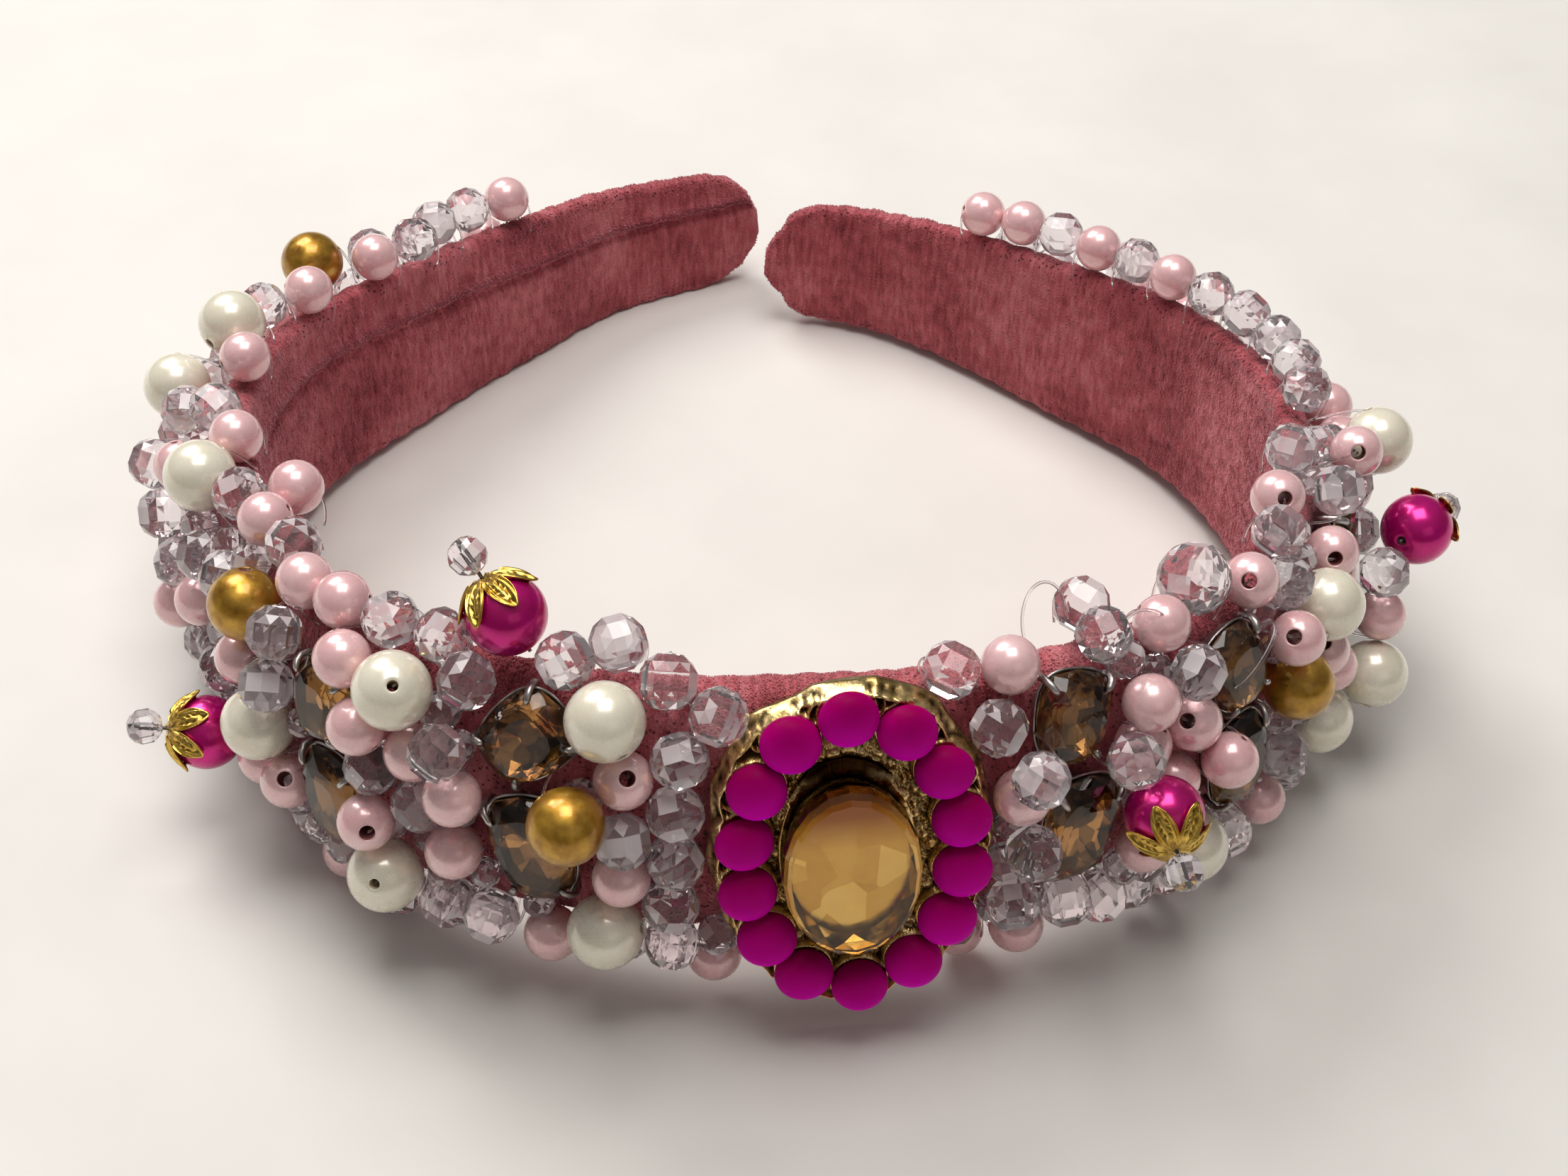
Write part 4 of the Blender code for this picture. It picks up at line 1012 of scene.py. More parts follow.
def make_pile(name, material, grid, normals, along, across, inner):
    """Short closed tufts of pile, leaning down the band, closest on its rims."""
    wanted = PILE_COUNT
    cell = np.linalg.norm(np.cross(grid[1:] - grid[:-1],
                                   (np.roll(grid, -1, axis=1) - grid)[:-1]), axis=2)
    rim = np.clip(1.0 - np.abs(np.abs(across) - 15.0) / 3.0, 0, 1)
    bare = np.clip((np.abs(along) - 146) / 6, 0, 1) + np.clip(1.2 - np.abs(along) / 14, 0, 1)
    dense = 0.40 * inner + 2.4 * rim + np.where(inner > 0, 0.35, np.clip(bare, 0.05, 1))
    chance = (cell * dense[:-1]).ravel()
    picked = RANDOM.choice(chance.size, wanted, p=chance / chance.sum())
    row, column = np.divmod(picked, across.shape[1])
    down, over = RANDOM.random(wanted), RANDOM.random(wanted)

    def between(values):
        """Values at the tufts, from those at the corners of the cells that they stand in."""
        beside = (column + 1) % across.shape[1]
        shape = (-1,) + (1,) * (values.ndim - 2)
        u, v = down.reshape(shape), over.reshape(shape)
        return ((values[row, column] * (1 - u) + values[row + 1, column] * u) * (1 - v)
                + (values[row, beside] * (1 - u) + values[row + 1, beside] * u) * v)

    foot, out = between(grid), between(normals)
    out /= np.linalg.norm(out, axis=1)[:, None]
    ahead = np.gradient(grid, axis=0)[row, column]
    ahead /= np.linalg.norm(ahead, axis=1)[:, None]
    beside = np.cross(out, ahead)
    lean = RANDOM.normal(0, 0.35, (wanted, 2))
    tall = PILE_HIGH * RANDOM.uniform(0.55, 1.1, wanted)
    tip = foot + (out + ahead * lean[:, :1] + beside * lean[:, 1:]) * tall[:, None]
    base = foot - out * 0.15 * MM
    corners = [base + PILE_WIDE * (math.cos(angle) * ahead + math.sin(angle) * beside)
               for angle in around(3)]
    points = np.stack([*corners, tip], axis=1).reshape(-1, 3)
    first = np.arange(wanted)[:, None] * 4
    faces = np.concatenate([first + shape for shape in
                            ((0, 2, 1), (0, 1, 3), (1, 2, 3), (2, 0, 3))])
    values = {"tip": np.tile((0.0, 0.0, 0.0, 1.0), wanted),
              "along": np.repeat(between(along), 4), "across": np.repeat(between(across), 4)}
    tufts = add_piece(name, points, faces.tolist(), [material], values=values)


# Pearls and beads

def drilled_pearl(radius, bore, sides, rings):
    """A pearl with a hole through it along Z. The hole's faces take the second slot."""
    edge = math.asin(bore / radius)
    leans = np.linspace(edge + 0.10, math.pi - edge - 0.10, rings)
    lip = radius * math.cos(edge + 0.05)
    profile = [(bore, lip - 0.15 * MM), (bore * 1.04, lip - 0.03 * MM), (bore * 1.14, lip)]
    profile += [(radius * math.sin(lean), radius * math.cos(lean)) for lean in leans]
    profile += [(r, -z) for r, z in profile[:3][::-1]]
    points, faces = turned_shape(profile, sides)
    slots = [0] * (len(faces) - sides) + [1] * sides
    return points, faces, slots


def faceted_bead(radius, sides=10):
    """A round bead with long facets round its middle and three-cornered ones beyond."""
    half = [(wide * radius, high * radius) for wide, high in BEAD_FACETS]
    profile = half[::-1] + [(r, -z) for r, z in half]
    return turned_shape(profile, sides, BEAD_TWISTS, closed=False)


def lifted(rows, places):
    """The beads' places, with any that would reach through the surface moved up."""
    radii = np.array([RADII[row[0]] for row in rows])
    high = places @ REST[2, :3] + REST[2, 3]
    short = np.clip(radii + 0.05 * MM - high, 0, None)
    return places + short[:, None] * REST[2, :3]


def tucked_beads(places, radii):
    """Small clear beads tucked into the gaps where the velvet would show."""
    blocks = stone_guards() + medallion_guards()
    places = np.vstack([places, [place for place, _ in blocks]])
    radii = np.concatenate([radii, [radius for _, radius in blocks]])
    found = []
    inverse = medallion_frame().inverted()
    spots = [(kind, along, across) for kind in TUCKED_KINDS
             for along in np.arange(*TUCKED_ALONG) for across in np.arange(*TUCKED_ACROSS)]
    for kind, along, across in spots:
        if abs(along - BARE_TOP[0]) < BARE_TOP[1] and across > BARE_TOP[2]:
            continue
        radius = RADII[kind]
        place = bead_place(along, across, radius / MM + TUCKED_LIFT)
        x, y, _ = inverse @ Vector(place)
        if math.hypot(x / (RING_HALF[0] + TUCKED_OFF), y / (RING_HALF[1] + TUCKED_OFF)) < 1:
            continue
        far = np.linalg.norm(places - place, axis=1) - radii
        if far.min() > radius * TUCKED_OVERLAP:
            found.append((kind, along, across, radius / MM + TUCKED_LIFT))
            places = np.vstack([places, place])
            radii = np.append(radii, radius)
    return found, places[len(places) - len(found):]


def view_from(place):
    """The way from a place on the band to the camera."""
    way = np.array(CAMERA_PLACE) - place
    return way / np.linalg.norm(way)


def bore_axis(row, place):
    """The way that a sewn bead's hole runs, mostly along the velvet, and whether it is one
    of those that face the viewer."""
    _, along, across, _ = row
    frame_here = np.array(local_frame(along, across))
    if any(max(abs(along - a), abs(across - b)) < HOLE_REACH for a, b in FACING_HOLES):
        return view_from(place) + RANDOM.normal(0, 0.16, 3), True
    for _ in range(AXIS_TRIES):
        turn = RANDOM.uniform(0, math.pi)
        flat = frame_here[:3, 0] * math.cos(turn) + frame_here[:3, 1] * math.sin(turn)
        axis = flat + frame_here[:3, 2] * RANDOM.normal(0, 0.2)
        if abs(axis @ view_from(place)) < AXIS_FACING * np.linalg.norm(axis):
            break
    return axis, False


def make_fields(rows, owners, places, looks):
    """Every pearl and clear bead of the two fields, and the large pearls, with its thread."""
    facing = drilled_pearl(PINK_R, FACING_BORE, 32, 15)
    shapes = {"pink": drilled_pearl(PINK_R, PINK_BORE, 32, 15),
              "cream": drilled_pearl(CREAM_R, CREAM_BORE, 44, 21),
              "gold": drilled_pearl(GOLD_R, GOLD_BORE, 44, 21),
              "clear": (*faceted_bead(CLEAR_R), None),
              "big_clear": (*faceted_bead(BIG_CLEAR_R, 12), None)}
    for kind in TUCKED_KINDS:
        shapes[kind] = (*faceted_bead(RADII[kind]), None)
    heaps, threads = {}, {"left": Heap(), "right": Heap(), "own": Heap()}
    extra, extra_places = tucked_beads(places, np.array([RADII[row[0]] for row in rows]))
    rows, places = rows + extra, np.vstack([places, extra_places])
    owners = owners + ["left" if row[1] < 0 else "right" for row in extra]
    for row, owner, place in zip(rows, owners, lifted(rows, places)):
        kind = row[0]
        if kind == "fuchsia":
            continue
        group = owner.split()[0]
        axis, faces_viewer = bore_axis(row, place)
        points, faces, slots = facing if faces_viewer and kind == "pink" else shapes[kind]
        matrix = aim(axis, place, RANDOM.uniform(0, math.pi))
        key = ("clear" if "clear" in kind or kind in TUCKED_KINDS else kind, group)
        heaps.setdefault(key, Heap()).add(points, faces, matrix, slots)
        sew(threads[group], row, np.array(matrix)[:3, 2], place)
    for (kind, group), heap in heaps.items():
        name = f"{kind}_beads_{group}" if group != "own" else f"{kind}_pearls"
        hole = looks["cream_bore"] if kind == "cream" else looks["bore"]
        materials = [looks[kind]] if kind == "clear" else [looks[kind], hole]
        item = heap.piece(name, materials, smooth=kind != "clear")
        if group != "own":
            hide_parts(f"bead_field_{group}")
        else:
            first, last = (1, 8) if kind == "cream" else (9, 12)
            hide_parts(*[f"{kind}_pearl_{n:02d}" for n in range(first, last + 1)])
    for group, heap in threads.items():
        item = heap.piece(f"nylon_thread_{group}", [looks["nylon"]])


def sew(heap, row, axis, place):
    """Two stretches of nylon from the ends of a bead's hole down into the velvet."""
    kind, along, across, lift = row
    radius = RADII[kind]
    _, normal = on_velvet(along * MM, across * MM)
    for way in (axis, -axis):
        exit_place = place + way * radius * 0.9
        bend = place + way * (radius + 0.4 * MM) - normal * radius * 0.35
        foot = place + way * radius * 0.9 - normal * (lift * MM + 0.6 * MM)
        steps = np.linspace(0, 1, 8)[:, None]
        path = ((1 - steps) ** 2 * exit_place + 2 * steps * (1 - steps) * bend
                + steps ** 2 * foot)
        heap.add(*tube(path, [NYLON_R] * 8, 6))


def make_loops(looks):
    """The few loose bights of nylon that stand above the top row."""
    heap = Heap()
    for along, across, lift, wide, high, turn in LOOPS:
        frame_here = np.array(local_frame(along, across))
        middle = bead_place(along, across, lift)
        side = frame_here[:3, 0] * math.cos(turn) + frame_here[:3, 1] * math.sin(turn)
        up = frame_here[:3, 2] * 0.8 + frame_here[:3, 1] * 0.6
        angles = np.linspace(-0.25, math.pi + 0.25, 22)
        path = np.array([middle + side * wide * MM * math.cos(a) + up * high * MM * math.sin(a)
                         for a in angles])
        heap.add(*tube(path, [NYLON_R * 1.2] * len(path), 8))
    item = heap.piece("nylon_loops", [looks["nylon"]])


# Drop pearls

def petal_cap():
    """A cap with pitted pointed petals, as a closed sheet. Also the painted shade at each point:
    in the pits, round the middle and over the inner sheet.
    """
    sides, down = CAP_POINTS
    inner = FUCHSIA_R + 0.12 * MM
    turn = around(sides)
    petal = np.abs((turn * PETALS / TURN + 0.5) % 1 - 0.5) * 2
    reach = np.radians(27 + 45 * (1 - petal ** 1.5))
    share = np.linspace(0.06, 1, down)[:, None]
    lean = share * reach[None, :]
    beside = petal[None, :] * np.ones_like(share)
    ridge = 0.16 * hump(beside - 0.66 * (1.08 - share ** 4), 0.13) * (share > 0.3)
    pits = np.zeros_like(lean)
    for spot in PIT_PLACES:
        pits += hump(share - spot, 0.042) * hump(beside - 0.27, 0.15)
    pits += hump(share - 0.87, 0.035) * hump(beside, 0.16)
    flare = 0.35 * np.clip((share - 0.75) / 0.25, 0, 1) ** 2
    high = (0.10 + ridge - 0.24 * pits + flare + 0.06 * (share < 0.12)) * MM
    sheets = []
    for over in (inner + high, inner + high - CAP_SHEET):
        sheets.append(np.stack([over * np.sin(lean) * np.cos(turn),
                                over * np.sin(lean) * np.sin(turn),
                                over * np.cos(lean)], axis=2))
    points = np.vstack([sheets[0].reshape(-1, 3), sheets[1][::-1].reshape(-1, 3)])
    faces = loft_faces(2 * down, sides, closed=True)
    # Painted shade in the pits and round the cap's middle, and evenly over its inner sheet
    hollow = np.clip(1.1 * pits + 0.5 * (share < 0.25), 0, 1)
    return points, faces, np.concatenate([hollow.ravel(), np.full(hollow.size, 0.6)])


def make_drops(places, looks):
    """The fuchsia pearls, their petal caps, tip beads and the pin through them."""
    pearls, caps, tips, pins = Heap(), Heap(), Heap(), Heap()
    points, faces, slots = drilled_pearl(FUCHSIA_R, FUCHSIA_BORE, 48, 23)
    cap_points, cap_faces, hollow = petal_cap()
    far = FUCHSIA_R + CAP_THICK + 2 * GAP + TIP_R
    for (along, across, _, pointing), place in zip(DROPS, places):
        matrix = Matrix.Translation(Vector(place)) @ cap_turn(along, across, pointing)
        pearls.add(points, faces, matrix, slots)
        caps.add(cap_points, cap_faces, matrix, hollow=hollow)
        tip = matrix @ Matrix.Translation((0, 0, far))
        tip = tip @ Matrix.Rotation(math.radians(20), 4, "X")
        tips.add(*faceted_bead(TIP_R, 9), tip)
        line = np.array([(0, 0, -1.1 * FUCHSIA_R), (0, 0, 0), (0, 0, far + TIP_R * 0.95)])
        line = line @ np.array(matrix)[:3, :3].T + place
        pins.add(*tube(line, [PIN_R] * 3, 8))
    numbers = range(1, len(DROPS) + 1)
    for heap, name, materials, node_name, slot, smooth in (
            (pearls, "fuchsia_pearls", [looks["fuchsia"], looks["bore"]], "fuchsia_pearl",
             "fuchsia_pearl", True),
            (caps, "petal_caps", [looks["stamped"]], "petal_cap", "gold_metal", True),
            (tips, "tip_beads", [looks["clear"]], "tip_bead", "clear_bead", False)):
        item = heap.piece(name, materials, smooth)
        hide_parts(*[f"{node_name}_{n}" for n in numbers])
    pins.piece("drop_pins", [looks["nylon"]])


# The medallion

def outline_reach(angle):
    """How far the casting's leafy edge lies beyond the ring of round stones."""
    lobes = np.abs(np.cos(CABOCHON_COUNT * angle / 2))
    leaf = 0.35 * np.sin(5 * angle + 0.7) + 0.22 * np.sin(11 * angle + 2.0)
    top = np.clip(np.cos(angle - 0.15), 0, 1)
    turned = (angle + math.pi) % TURN - math.pi
    notch = 0.9 * hump(turned, 0.4)
    curls = 0.7 * hump(turned + 0.8, 0.25) + 0.4 * hump(turned - 0.7, 0.25)
    return (3.2 + 0.4 * (1 - lobes) + leaf * (0.3 + 0.5 * top) - notch + curls) * MM


def boss_places(stones):
    """Round bosses on the field inside the ring and in the gaps outside it."""
    found = []
    (off_x, off_y), (half_x, half_y) = STONE_PLACE
    for _ in range(BOSS_TRIES):
        x, y = (RANDOM.uniform(-reach, reach) for reach in FIELD_PLACE)
        radius = RANDOM.choice(BOSS_RADII)
        if (math.hypot(x / BOSS_FIELD[0], y / BOSS_FIELD[1]) > 1
                or math.hypot((x - off_x) / half_x, (y - off_y) / half_y) < 1
                or min(math.hypot(x - a, y - b) for a, b in stones) < BOSS_OFF_STONES):
            continue
        if all(math.hypot(x - a, y - b) > 0.82 * (radius + r) for a, b, r in found):
            found.append((x, y, radius))
    return found


def casting_height(x, y, stones, bosses):
    """Height of the casting's face over its back: a fine net, the bosses and the cups."""
    net = np.abs(np.sin(3.1 * x + 1.3 * np.sin(2.2 * y)) * np.sin(2.7 * y + np.sin(2.5 * x)))
    high = CAST_FACE + 0.35 * (1 - np.clip(net * 3, 0, 1))
    for a, b, radius in bosses:
        far = np.hypot(x - a, y - b)
        dome = np.sqrt(np.clip(1 - (far / radius) ** 2, 0, 1)) * radius
        high = np.maximum(high, CAST_FACE + 0.95 * dome * (far < radius))
        high += 0.22 * hump(far - radius * 1.12, 0.12) * (far > radius)
    for a, b in stones:
        far = np.hypot(x - a, y - b)
        high = np.maximum(high, CAST_FACE + 1.45 * hump(far - CUP_RING, 0.22))
        high = np.where(far < CUP_RING - 0.15, CUP_FLOOR, high)
    return high


def rim_height(angle, inset):
    """Height of the wavy ribbon and curled leaves near the casting's edge. Inset is the
    distance in from the edge."""
    beside = ((CABOCHON_COUNT * angle / TURN % 1) - 0.5) * 6.1
    wave = 0.28 * np.sin(9 * angle + 1.0) + 0.16 * np.sin(23 * angle)
    ribbon = 1.15 * hump(inset - 1.0 - wave, 0.30) * (1 + 0.25 * np.sin(4 * angle))
    curl_far = np.hypot(beside, inset - 1.95)
    curl = 1.15 * hump(curl_far - 1.05, 0.26) * (0.75 + 0.25 * np.cos(angle - 0.2))
    boss = 0.8 * np.sqrt(np.clip(1 - (curl_far / 0.6) ** 2, 0, 1))
    leaf = np.abs(np.sin(beside * 2.6 + 1.5 * inset + 0.9 * np.sin(3 * angle)))
    veins = (0.42 * leaf - 0.2) * hump(inset - 0.45, 0.5)
    return CAST_FACE + np.maximum.reduce([ribbon, curl, boss]) + veins


def make_casting(stones, looks, frame_here):
    """The gold casting as one fine relief between the large stone and the leafy edge."""
    sides, rows = CAST_POINTS
    angle = around(sides)
    reach = outline_reach(angle)
    stones = [(x / MM, y / MM) for x, y in stones]
    outer = np.stack([(RING_HALF[0] + reach) * np.sin(angle),
                      (RING_HALF[1] + reach) * np.cos(angle)], axis=1) / MM
    (off_x, off_y), (half_x, half_y) = STONE_PLACE
    inner = np.stack([0.74 * half_x * np.sin(angle) + off_x,
                      0.80 * half_y * np.cos(angle) + off_y], axis=1)
    share = np.concatenate([[0.0, 0.1], np.linspace(0.17, 1, rows)])[:, None, None]
    spots = inner[None] * (1 - share) + outer[None] * share
    x, y = spots[..., 0], spots[..., 1]
    inset = np.linalg.norm(spots[-1][None] - spots, axis=2)
    high = casting_height(x, y, stones, boss_places(stones))

    # The leafy rim lies outside the round stones
    nearest = np.min([np.hypot(x - a, y - b) for a, b in stones], axis=0)
    rim = rim_height(angle[None, :], inset)
    edge_zone = np.clip((3.2 - inset) / 0.6, 0, 1) * np.clip((nearest - 2.9) / 0.3, 0, 1)
    high = np.where(edge_zone > 0, high * (1 - edge_zone) + rim * edge_zone, high)

    # The large stone's seat, its collar, and the dark gap over its top
    stone_far = np.hypot((x - off_x) / (half_x - 0.4), (y - off_y) / (half_y - 0.3))
    collar = hump(stone_far - 1.03, 0.045) * np.clip(1.15 - np.clip(y / 9, 0, 2), 0, 1)
    high = np.where(stone_far < 1.0, CAST_SEAT, np.maximum(high, CAST_SEAT + 0.9 * collar))
    gap = hump(stone_far - 1.06, 0.075) * np.clip((y - 7.2) / 2, 0, 1)
    high = high * (1 - gap) + 0.5 * gap
    high *= np.clip(inset / 0.9, 0, 1) ** 0.6 * 0.70 + 0.30

    # Painted shade goes where the face lies below its own smoothed shape
    soft = high.copy()
    for _ in range(10):
        soft[1:-1] = (soft[:-2] + soft[1:-1] + soft[2:]) / 3
        soft = (np.roll(soft, 1, 1) + soft + np.roll(soft, -1, 1)) / 3
    hollow = np.clip((soft - high) * 2.2 + 0.38, 0, 0.96)
    # Painted shade also darkens the seat over the large stone's top, where the dark gap lies
    hollow = np.maximum(hollow, np.clip((y - 6.5) / 2, 0, 1) * (stone_far < 1.12))
    top = np.stack([x, y, high], axis=2)
    below = np.stack([top[-1], top[0]])
    below[0, :, 2], below[1, :, 2] = 0.0, 0.2
    points = np.concatenate([top, below]).reshape(-1, 3) * MM
    # The casting's back takes painted shade at half strength
    values = np.concatenate([hollow.ravel(), np.full(2 * sides, 0.5)])
    heap = Heap()
    heap.add(points, loft_faces(len(top) + 2, sides, closed=True), frame_here, hollow=values)
    # The floor under the large stone takes strong painted shade
    floor_ring = [((0.79 * half_x * math.sin(a) + off_x) * MM,
                   (0.83 * half_y * math.cos(a) + off_y) * MM, z)
                  for z in (0.25 * MM, 1.28 * MM) for a in around(48)]
    heap.add(floor_ring, loft_faces(2, 48), frame_here, hollow=0.8)
    item = heap.piece("medallion_casting", [looks["cast"]])
    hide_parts("medallion_setting")


def make_cabochons(stones, looks, frame_here):
    """The round satin domes, each a little out of true."""
    heap = Heap()
    seat = PLATE_THICK + CUP_HIGH + GAP
    leans = np.linspace(0, math.pi / 2, 12)
    profile = [(0.90, -0.10), (0.965, 0.02), (0.99, 0.14)]
    profile += [(math.cos(lean) ** 0.72, 0.2 + 0.8 * math.sin(lean)) for lean in leans[:-1]]
    rings = [(CABOCHON_R * 1.015 * r, CABOCHON_HIGH * z) for r, z in profile]
    points, faces = turned_shape(rings, 48, closed=False)
    for x, y in stones:
        tilt = Matrix.Rotation(RANDOM.normal(0, 0.05), 4, "X")
        tilt = tilt @ Matrix.Rotation(RANDOM.normal(0, 0.05), 4, "Y")
        size = 1 + RANDOM.normal(0, 0.012)
        matrix = (frame_here @ Matrix.Translation((x, y, seat)) @ tilt
                  @ Matrix.Diagonal((size, size, 1, 1)))
        # Rise runs from the foot to the top of each dome and carries the painted glow and shade
        rise = 0.5 + 0.5 * points[:, 1] / CABOCHON_R
        heap.add(points, faces, matrix, rise=rise)
    item = heap.piece("cabochon_domes", [looks["cabochon"]])
    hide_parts(*[f"cabochon_{n:02d}" for n in range(1, CABOCHON_COUNT + 1)])


def oval_point(half, share, angle, high):
    """One point of an oval stone's outline."""
    return half[0] * share * math.sin(angle), half[1] * share * math.cos(angle), high


def ring_of(half, share, high, sides, twist=0.0, shape=oval_point):
    """Points of one ring of a cut stone."""
    return np.array([shape(half, share, a, high) for a in around(sides, 0.5 * twist)])


def cut_stone(half, high, sides, crown, back, shape=oval_point):
    """A cut stone: glass over a foiled back. Crown and back are rows of share, height and
    twist. Faces of the back take the second slot."""
    rows = back + crown
    rings = [ring_of(half, share, high * z, sides, twist, shape) for share, z, twist in rows]
    faces = loft_faces(len(rows), sides, twists=[twist for _, _, twist in rows])
    slots = [1 if min(face) // sides < len(back) - 1 else 0 for face in faces[:-2]]
    return np.vstack(rings), faces, slots + [1, 0]


def make_centre_stone(looks, frame_here):
    """The large champagne stone with its broad table and foiled back."""
    points, faces, slots = cut_stone(CENTRE_STONE_HALF, CENTRE_STONE_HIGH, CENTRE_SIDES,
                                     CENTRE_CROWN, CENTRE_BACK)
    where = frame_here @ Matrix.Translation((*CENTRE_STONE_OFF, COLLAR_HIGH + GAP))
    heap = Heap()
    # Rise places the painted shade on the foil's upper end
    heap.add(points, faces, where, slots, rise=0.5 + 0.5 * points[:, 1] / CENTRE_STONE_HALF[1])
    item = heap.piece("centre_stone_cut", [looks["champagne"], looks["champagne_foil"]], False)
    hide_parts("centre_stone")


def pear_point(half, share, angle, high):
    """One point of the claw-set stones' outline, whose narrow end points down."""
    narrow = 1.0 - PEAR_NARROW * (1 - math.cos(angle)) / 2
    beside, above = math.sin(angle), math.cos(angle)
    return (share * half[0] * narrow * math.copysign(abs(beside) ** PEAR_CORNER, beside),
            share * half[1] * math.copysign(abs(above) ** PEAR_CORNER, above), high)


def make_smoky_stones(looks):
    """The claw-set stones with their silver cups and claws."""
    glass, metal = Heap(), Heap()
    for along, across, seat, half_wide, half_high, turn in STONES:
        half = (half_wide * MM, half_high * MM)
        here = local_frame(along, across) @ Matrix.Rotation(math.radians(turn), 4, "Z")
        here = here @ Matrix.Translation((0, 0, seat * MM))
        points, faces, slots = cut_stone(half, STONE_THICK, SMOKY_SIDES, SMOKY_CROWN,
                                         SMOKY_BACK, pear_point)
        glass.add(points, faces, here, slots)
        wall = [ring_of(half, share, STONE_THICK * z, CUP_SIDES, shape=pear_point)
                for share, z in CUP_WALL]
        metal.add(np.vstack(wall), loft_faces(len(wall), CUP_SIDES, closed=True), here)
        for claw in CLAW_ANGLES:
            path = [pear_point(half, share, math.radians(claw), STONE_THICK * z)
                    for share, z in CLAW_PATH]
            metal.add(*tube(path, np.array(CLAW_RADII) * MM, 8, 0.8), here)
    stones = glass.piece("smoky_stones_cut", [looks["smoky"], looks["smoky_foil"]], False)
    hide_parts(*[f"smoky_stone_{n:02d}" for n in range(1, len(STONES) + 1)])
    claws = metal.piece("stone_claws", [looks["silver"]])
    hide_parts(*[f"smoky_stone_{n:02d}" for n in range(1, len(STONES) + 1)])


# Stage

def make_stage():
    """A plain pale floor, soft studio light and the photograph's camera."""
    mesh = bpy.data.meshes.new("floor")
    corners = [(-1, -1), (1, -1), (1, 1), (-1, 1)]
    mesh.from_pydata([(x * FLOOR_HALF, y * FLOOR_HALF, 0) for x, y in corners], [],
                     [(0, 1, 2, 3)])
    floor = bpy.data.objects.new("floor", mesh)
    material, tree, shader = new_material("pale_floor", roughness=0.7)
    dress(tree, shader, ramp(tree, noise(tree, 30.0), [(0.3, (0.72, 0.70, 0.67)),
                                                       (0.7, (0.78, 0.76, 0.73))]))
    mesh.materials.append(material)
    bpy.context.scene.collection.objects.link(floor)

    for name, place, size, power, colour in LIGHTS:
        data = bpy.data.lights.new(name, "AREA")
        data.shape = "RECTANGLE"
        data.size, data.size_y = size
        data.energy = power
        data.color = colour
        lamp = bpy.data.objects.new(name, data)
        lamp.location = place
        lamp.rotation_mode = "QUATERNION"
        aimed = Vector(LIGHT_AIM) - Vector(place)
        lamp.rotation_quaternion = aimed.to_track_quat("-Z", "Y")
        bpy.context.scene.collection.objects.link(lamp)

    world = bpy.data.worlds.new("studio")
    world.use_nodes = True
    tree = world.node_tree
    way = node(tree, "TexCoord").outputs["Generated"]
    high = node(tree, "SeparateXYZ", {"Vector": way}).outputs["Z"]
    colour = ramp(tree, spread(tree, high, 0, 1, -0.2, 1.0),
                  [(0.0, (0.20, 0.18, 0.17)), (0.5, (0.36, 0.34, 0.33)),
                   (1.0, (0.95, 0.94, 0.92))])
    back = tree.nodes["Background"]
    tree.links.new(colour, back.inputs["Color"])
    back.inputs["Strength"].default_value = WORLD_STRENGTH
    bpy.context.scene.world = world

    yaw, pitch, roll = CAMERA_YAW, CAMERA_PITCH, CAMERA_ROLL
    ahead = np.array([math.sin(yaw) * math.cos(pitch), math.cos(yaw) * math.cos(pitch),
                      -math.sin(pitch)])
    right = np.array([math.cos(yaw), -math.sin(yaw), 0.0])
    up = np.cross(right, ahead)
    matrix = np.eye(4)
    matrix[:3, 0] = math.cos(roll) * right + math.sin(roll) * up
    matrix[:3, 1] = -math.sin(roll) * right + math.cos(roll) * up
    matrix[:3, 2], matrix[:3, 3] = -ahead, CAMERA_PLACE
    data = bpy.data.cameras.new("camera")
    data.sensor_fit = "HORIZONTAL"
    data.sensor_width = 36.0
    data.lens = CAMERA_LENS
    data.clip_start, data.clip_end = 0.01, 20.0
    camera = bpy.data.objects.new("camera", data)
    camera.matrix_world = Matrix((REST @ matrix).tolist())
    bpy.context.scene.collection.objects.link(camera)
    bpy.context.scene.camera = camera
    bpy.context.scene.view_settings.view_transform = "Standard"
    bpy.context.scene.view_settings.exposure = EXPOSURE


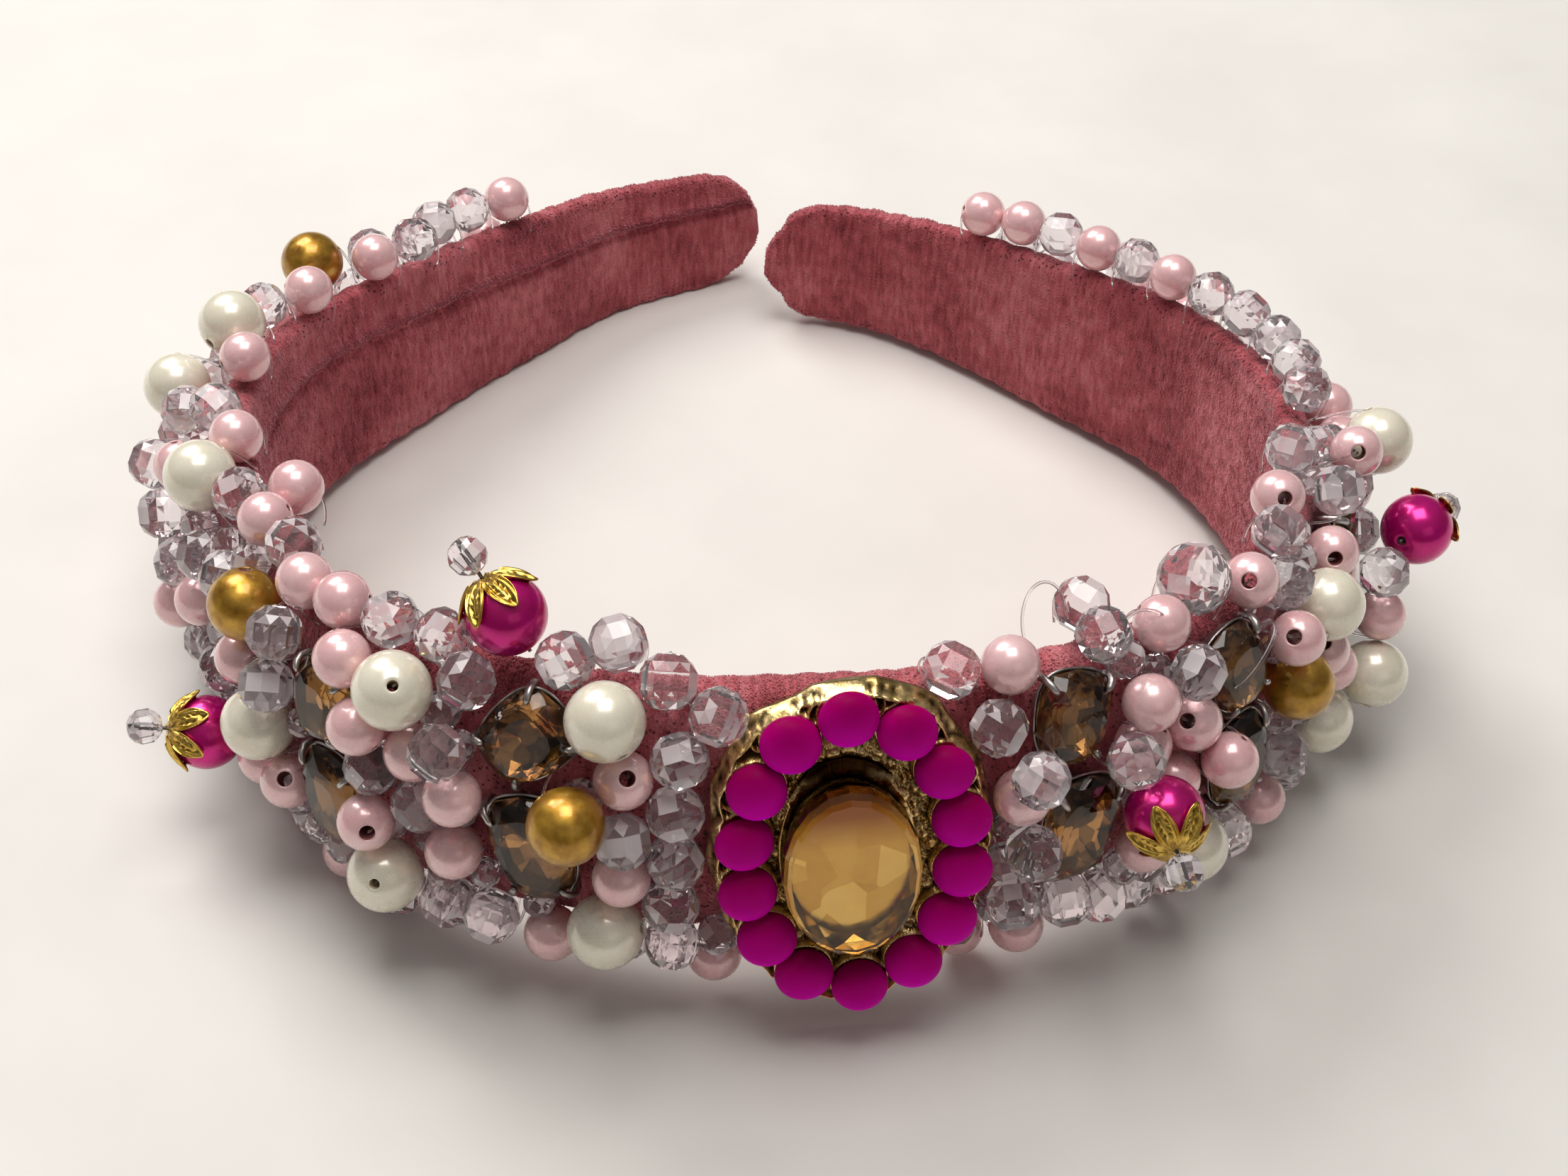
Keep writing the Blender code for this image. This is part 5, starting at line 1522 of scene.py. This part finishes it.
def main():
    """Build every piece of the headband, then its stage."""
    looks = {
        "pink": pearl_material("pink_coat", (0.84, 0.48, 0.50), (0.92, 0.62, 0.63), 0.2),
        "cream": pearl_material("cream_coat", (0.82, 0.76, 0.60), (0.90, 0.86, 0.72), 0.15),
        "gold": pearl_material("gold_coat", (0.30, 0.13, 0.008), (0.58, 0.33, 0.035), 0.75,
                               520.0, (0.25, 0.5), 0.5),
        "fuchsia": pearl_material("fuchsia_coat", (0.50, 0.0, 0.14), (0.68, 0.0, 0.24),
                                  0.6, 420.0, (0.2, 0.3), 0.35),
        # Painted shade for the insides of the drilled holes
        "bore": bore_material("drilled_hole", (0.26, 0.07, 0.08), (0.45, 0.18, 0.18)),
        "cream_bore": bore_material("drilled_cream", (0.50, 0.40, 0.26), (0.72, 0.62, 0.45)),
        "clear": clear_material("clear_acrylic", (0.98, 0.94, 0.955), (0.92, 0.84, 0.875),
                                (0.0, 0.04), 1.54, 0.95, painted_facet_light=0.45),
        "nylon": clear_material("nylon", (0.95, 0.93, 0.94), (0.85, 0.83, 0.85),
                                (0.15, 0.3), 1.5),
        # Each gold's third colour is its painted shade in the hollows
        "stamped": gold_material("stamped_gold", (0.60, 0.36, 0.05), (0.88, 0.62, 0.15),
                                 (0.16, 0.07, 0.01)),
        "cast": gold_material("cast_gold", (0.60, 0.38, 0.11), (0.95, 0.73, 0.36)),
        "cabochon": cabochon_material(),
        "champagne": clear_material("champagne_cut", (0.88, 0.70, 0.36), (0.83, 0.62, 0.26),
                                    (0.0, 0.02), 1.5),
        # The champagne foil has painted glints and painted shade over its upper end
        "champagne_foil": foil_material("champagne_mirror", (0.56, 0.37, 0.12),
                                        (0.80, 0.64, 0.33), (0.10, 0.22), 300.0,
                                        (0.24, 0.08, 0.002)),
        "smoky": clear_material("smoky_cut", (0.62, 0.42, 0.24), (0.50, 0.32, 0.17),
                                (0.0, 0.01), 1.52),
        # The smoky foil's patches are painted glints
        "smoky_foil": foil_material("smoky_mirror", (0.11, 0.07, 0.035), (0.90, 0.66, 0.36),
                                    (0.08, 0.2), 480.0),
        "silver": foil_material("claw_silver", (0.30, 0.28, 0.27), (0.58, 0.56, 0.54),
                                (0.25, 0.45)),
    }
    rows, owners, places = settled_beads()
    make_velvet()
    make_fields(rows, owners, places, looks)
    make_loops(looks)
    make_drops(places[-len(DROPS):], looks)
    stones = oval_ring_places()
    frame_here = medallion_frame()
    make_casting(stones, looks, frame_here)
    make_cabochons(stones, looks, frame_here)
    make_centre_stone(looks, frame_here)
    make_smoky_stones(looks)
    make_stage()


main()
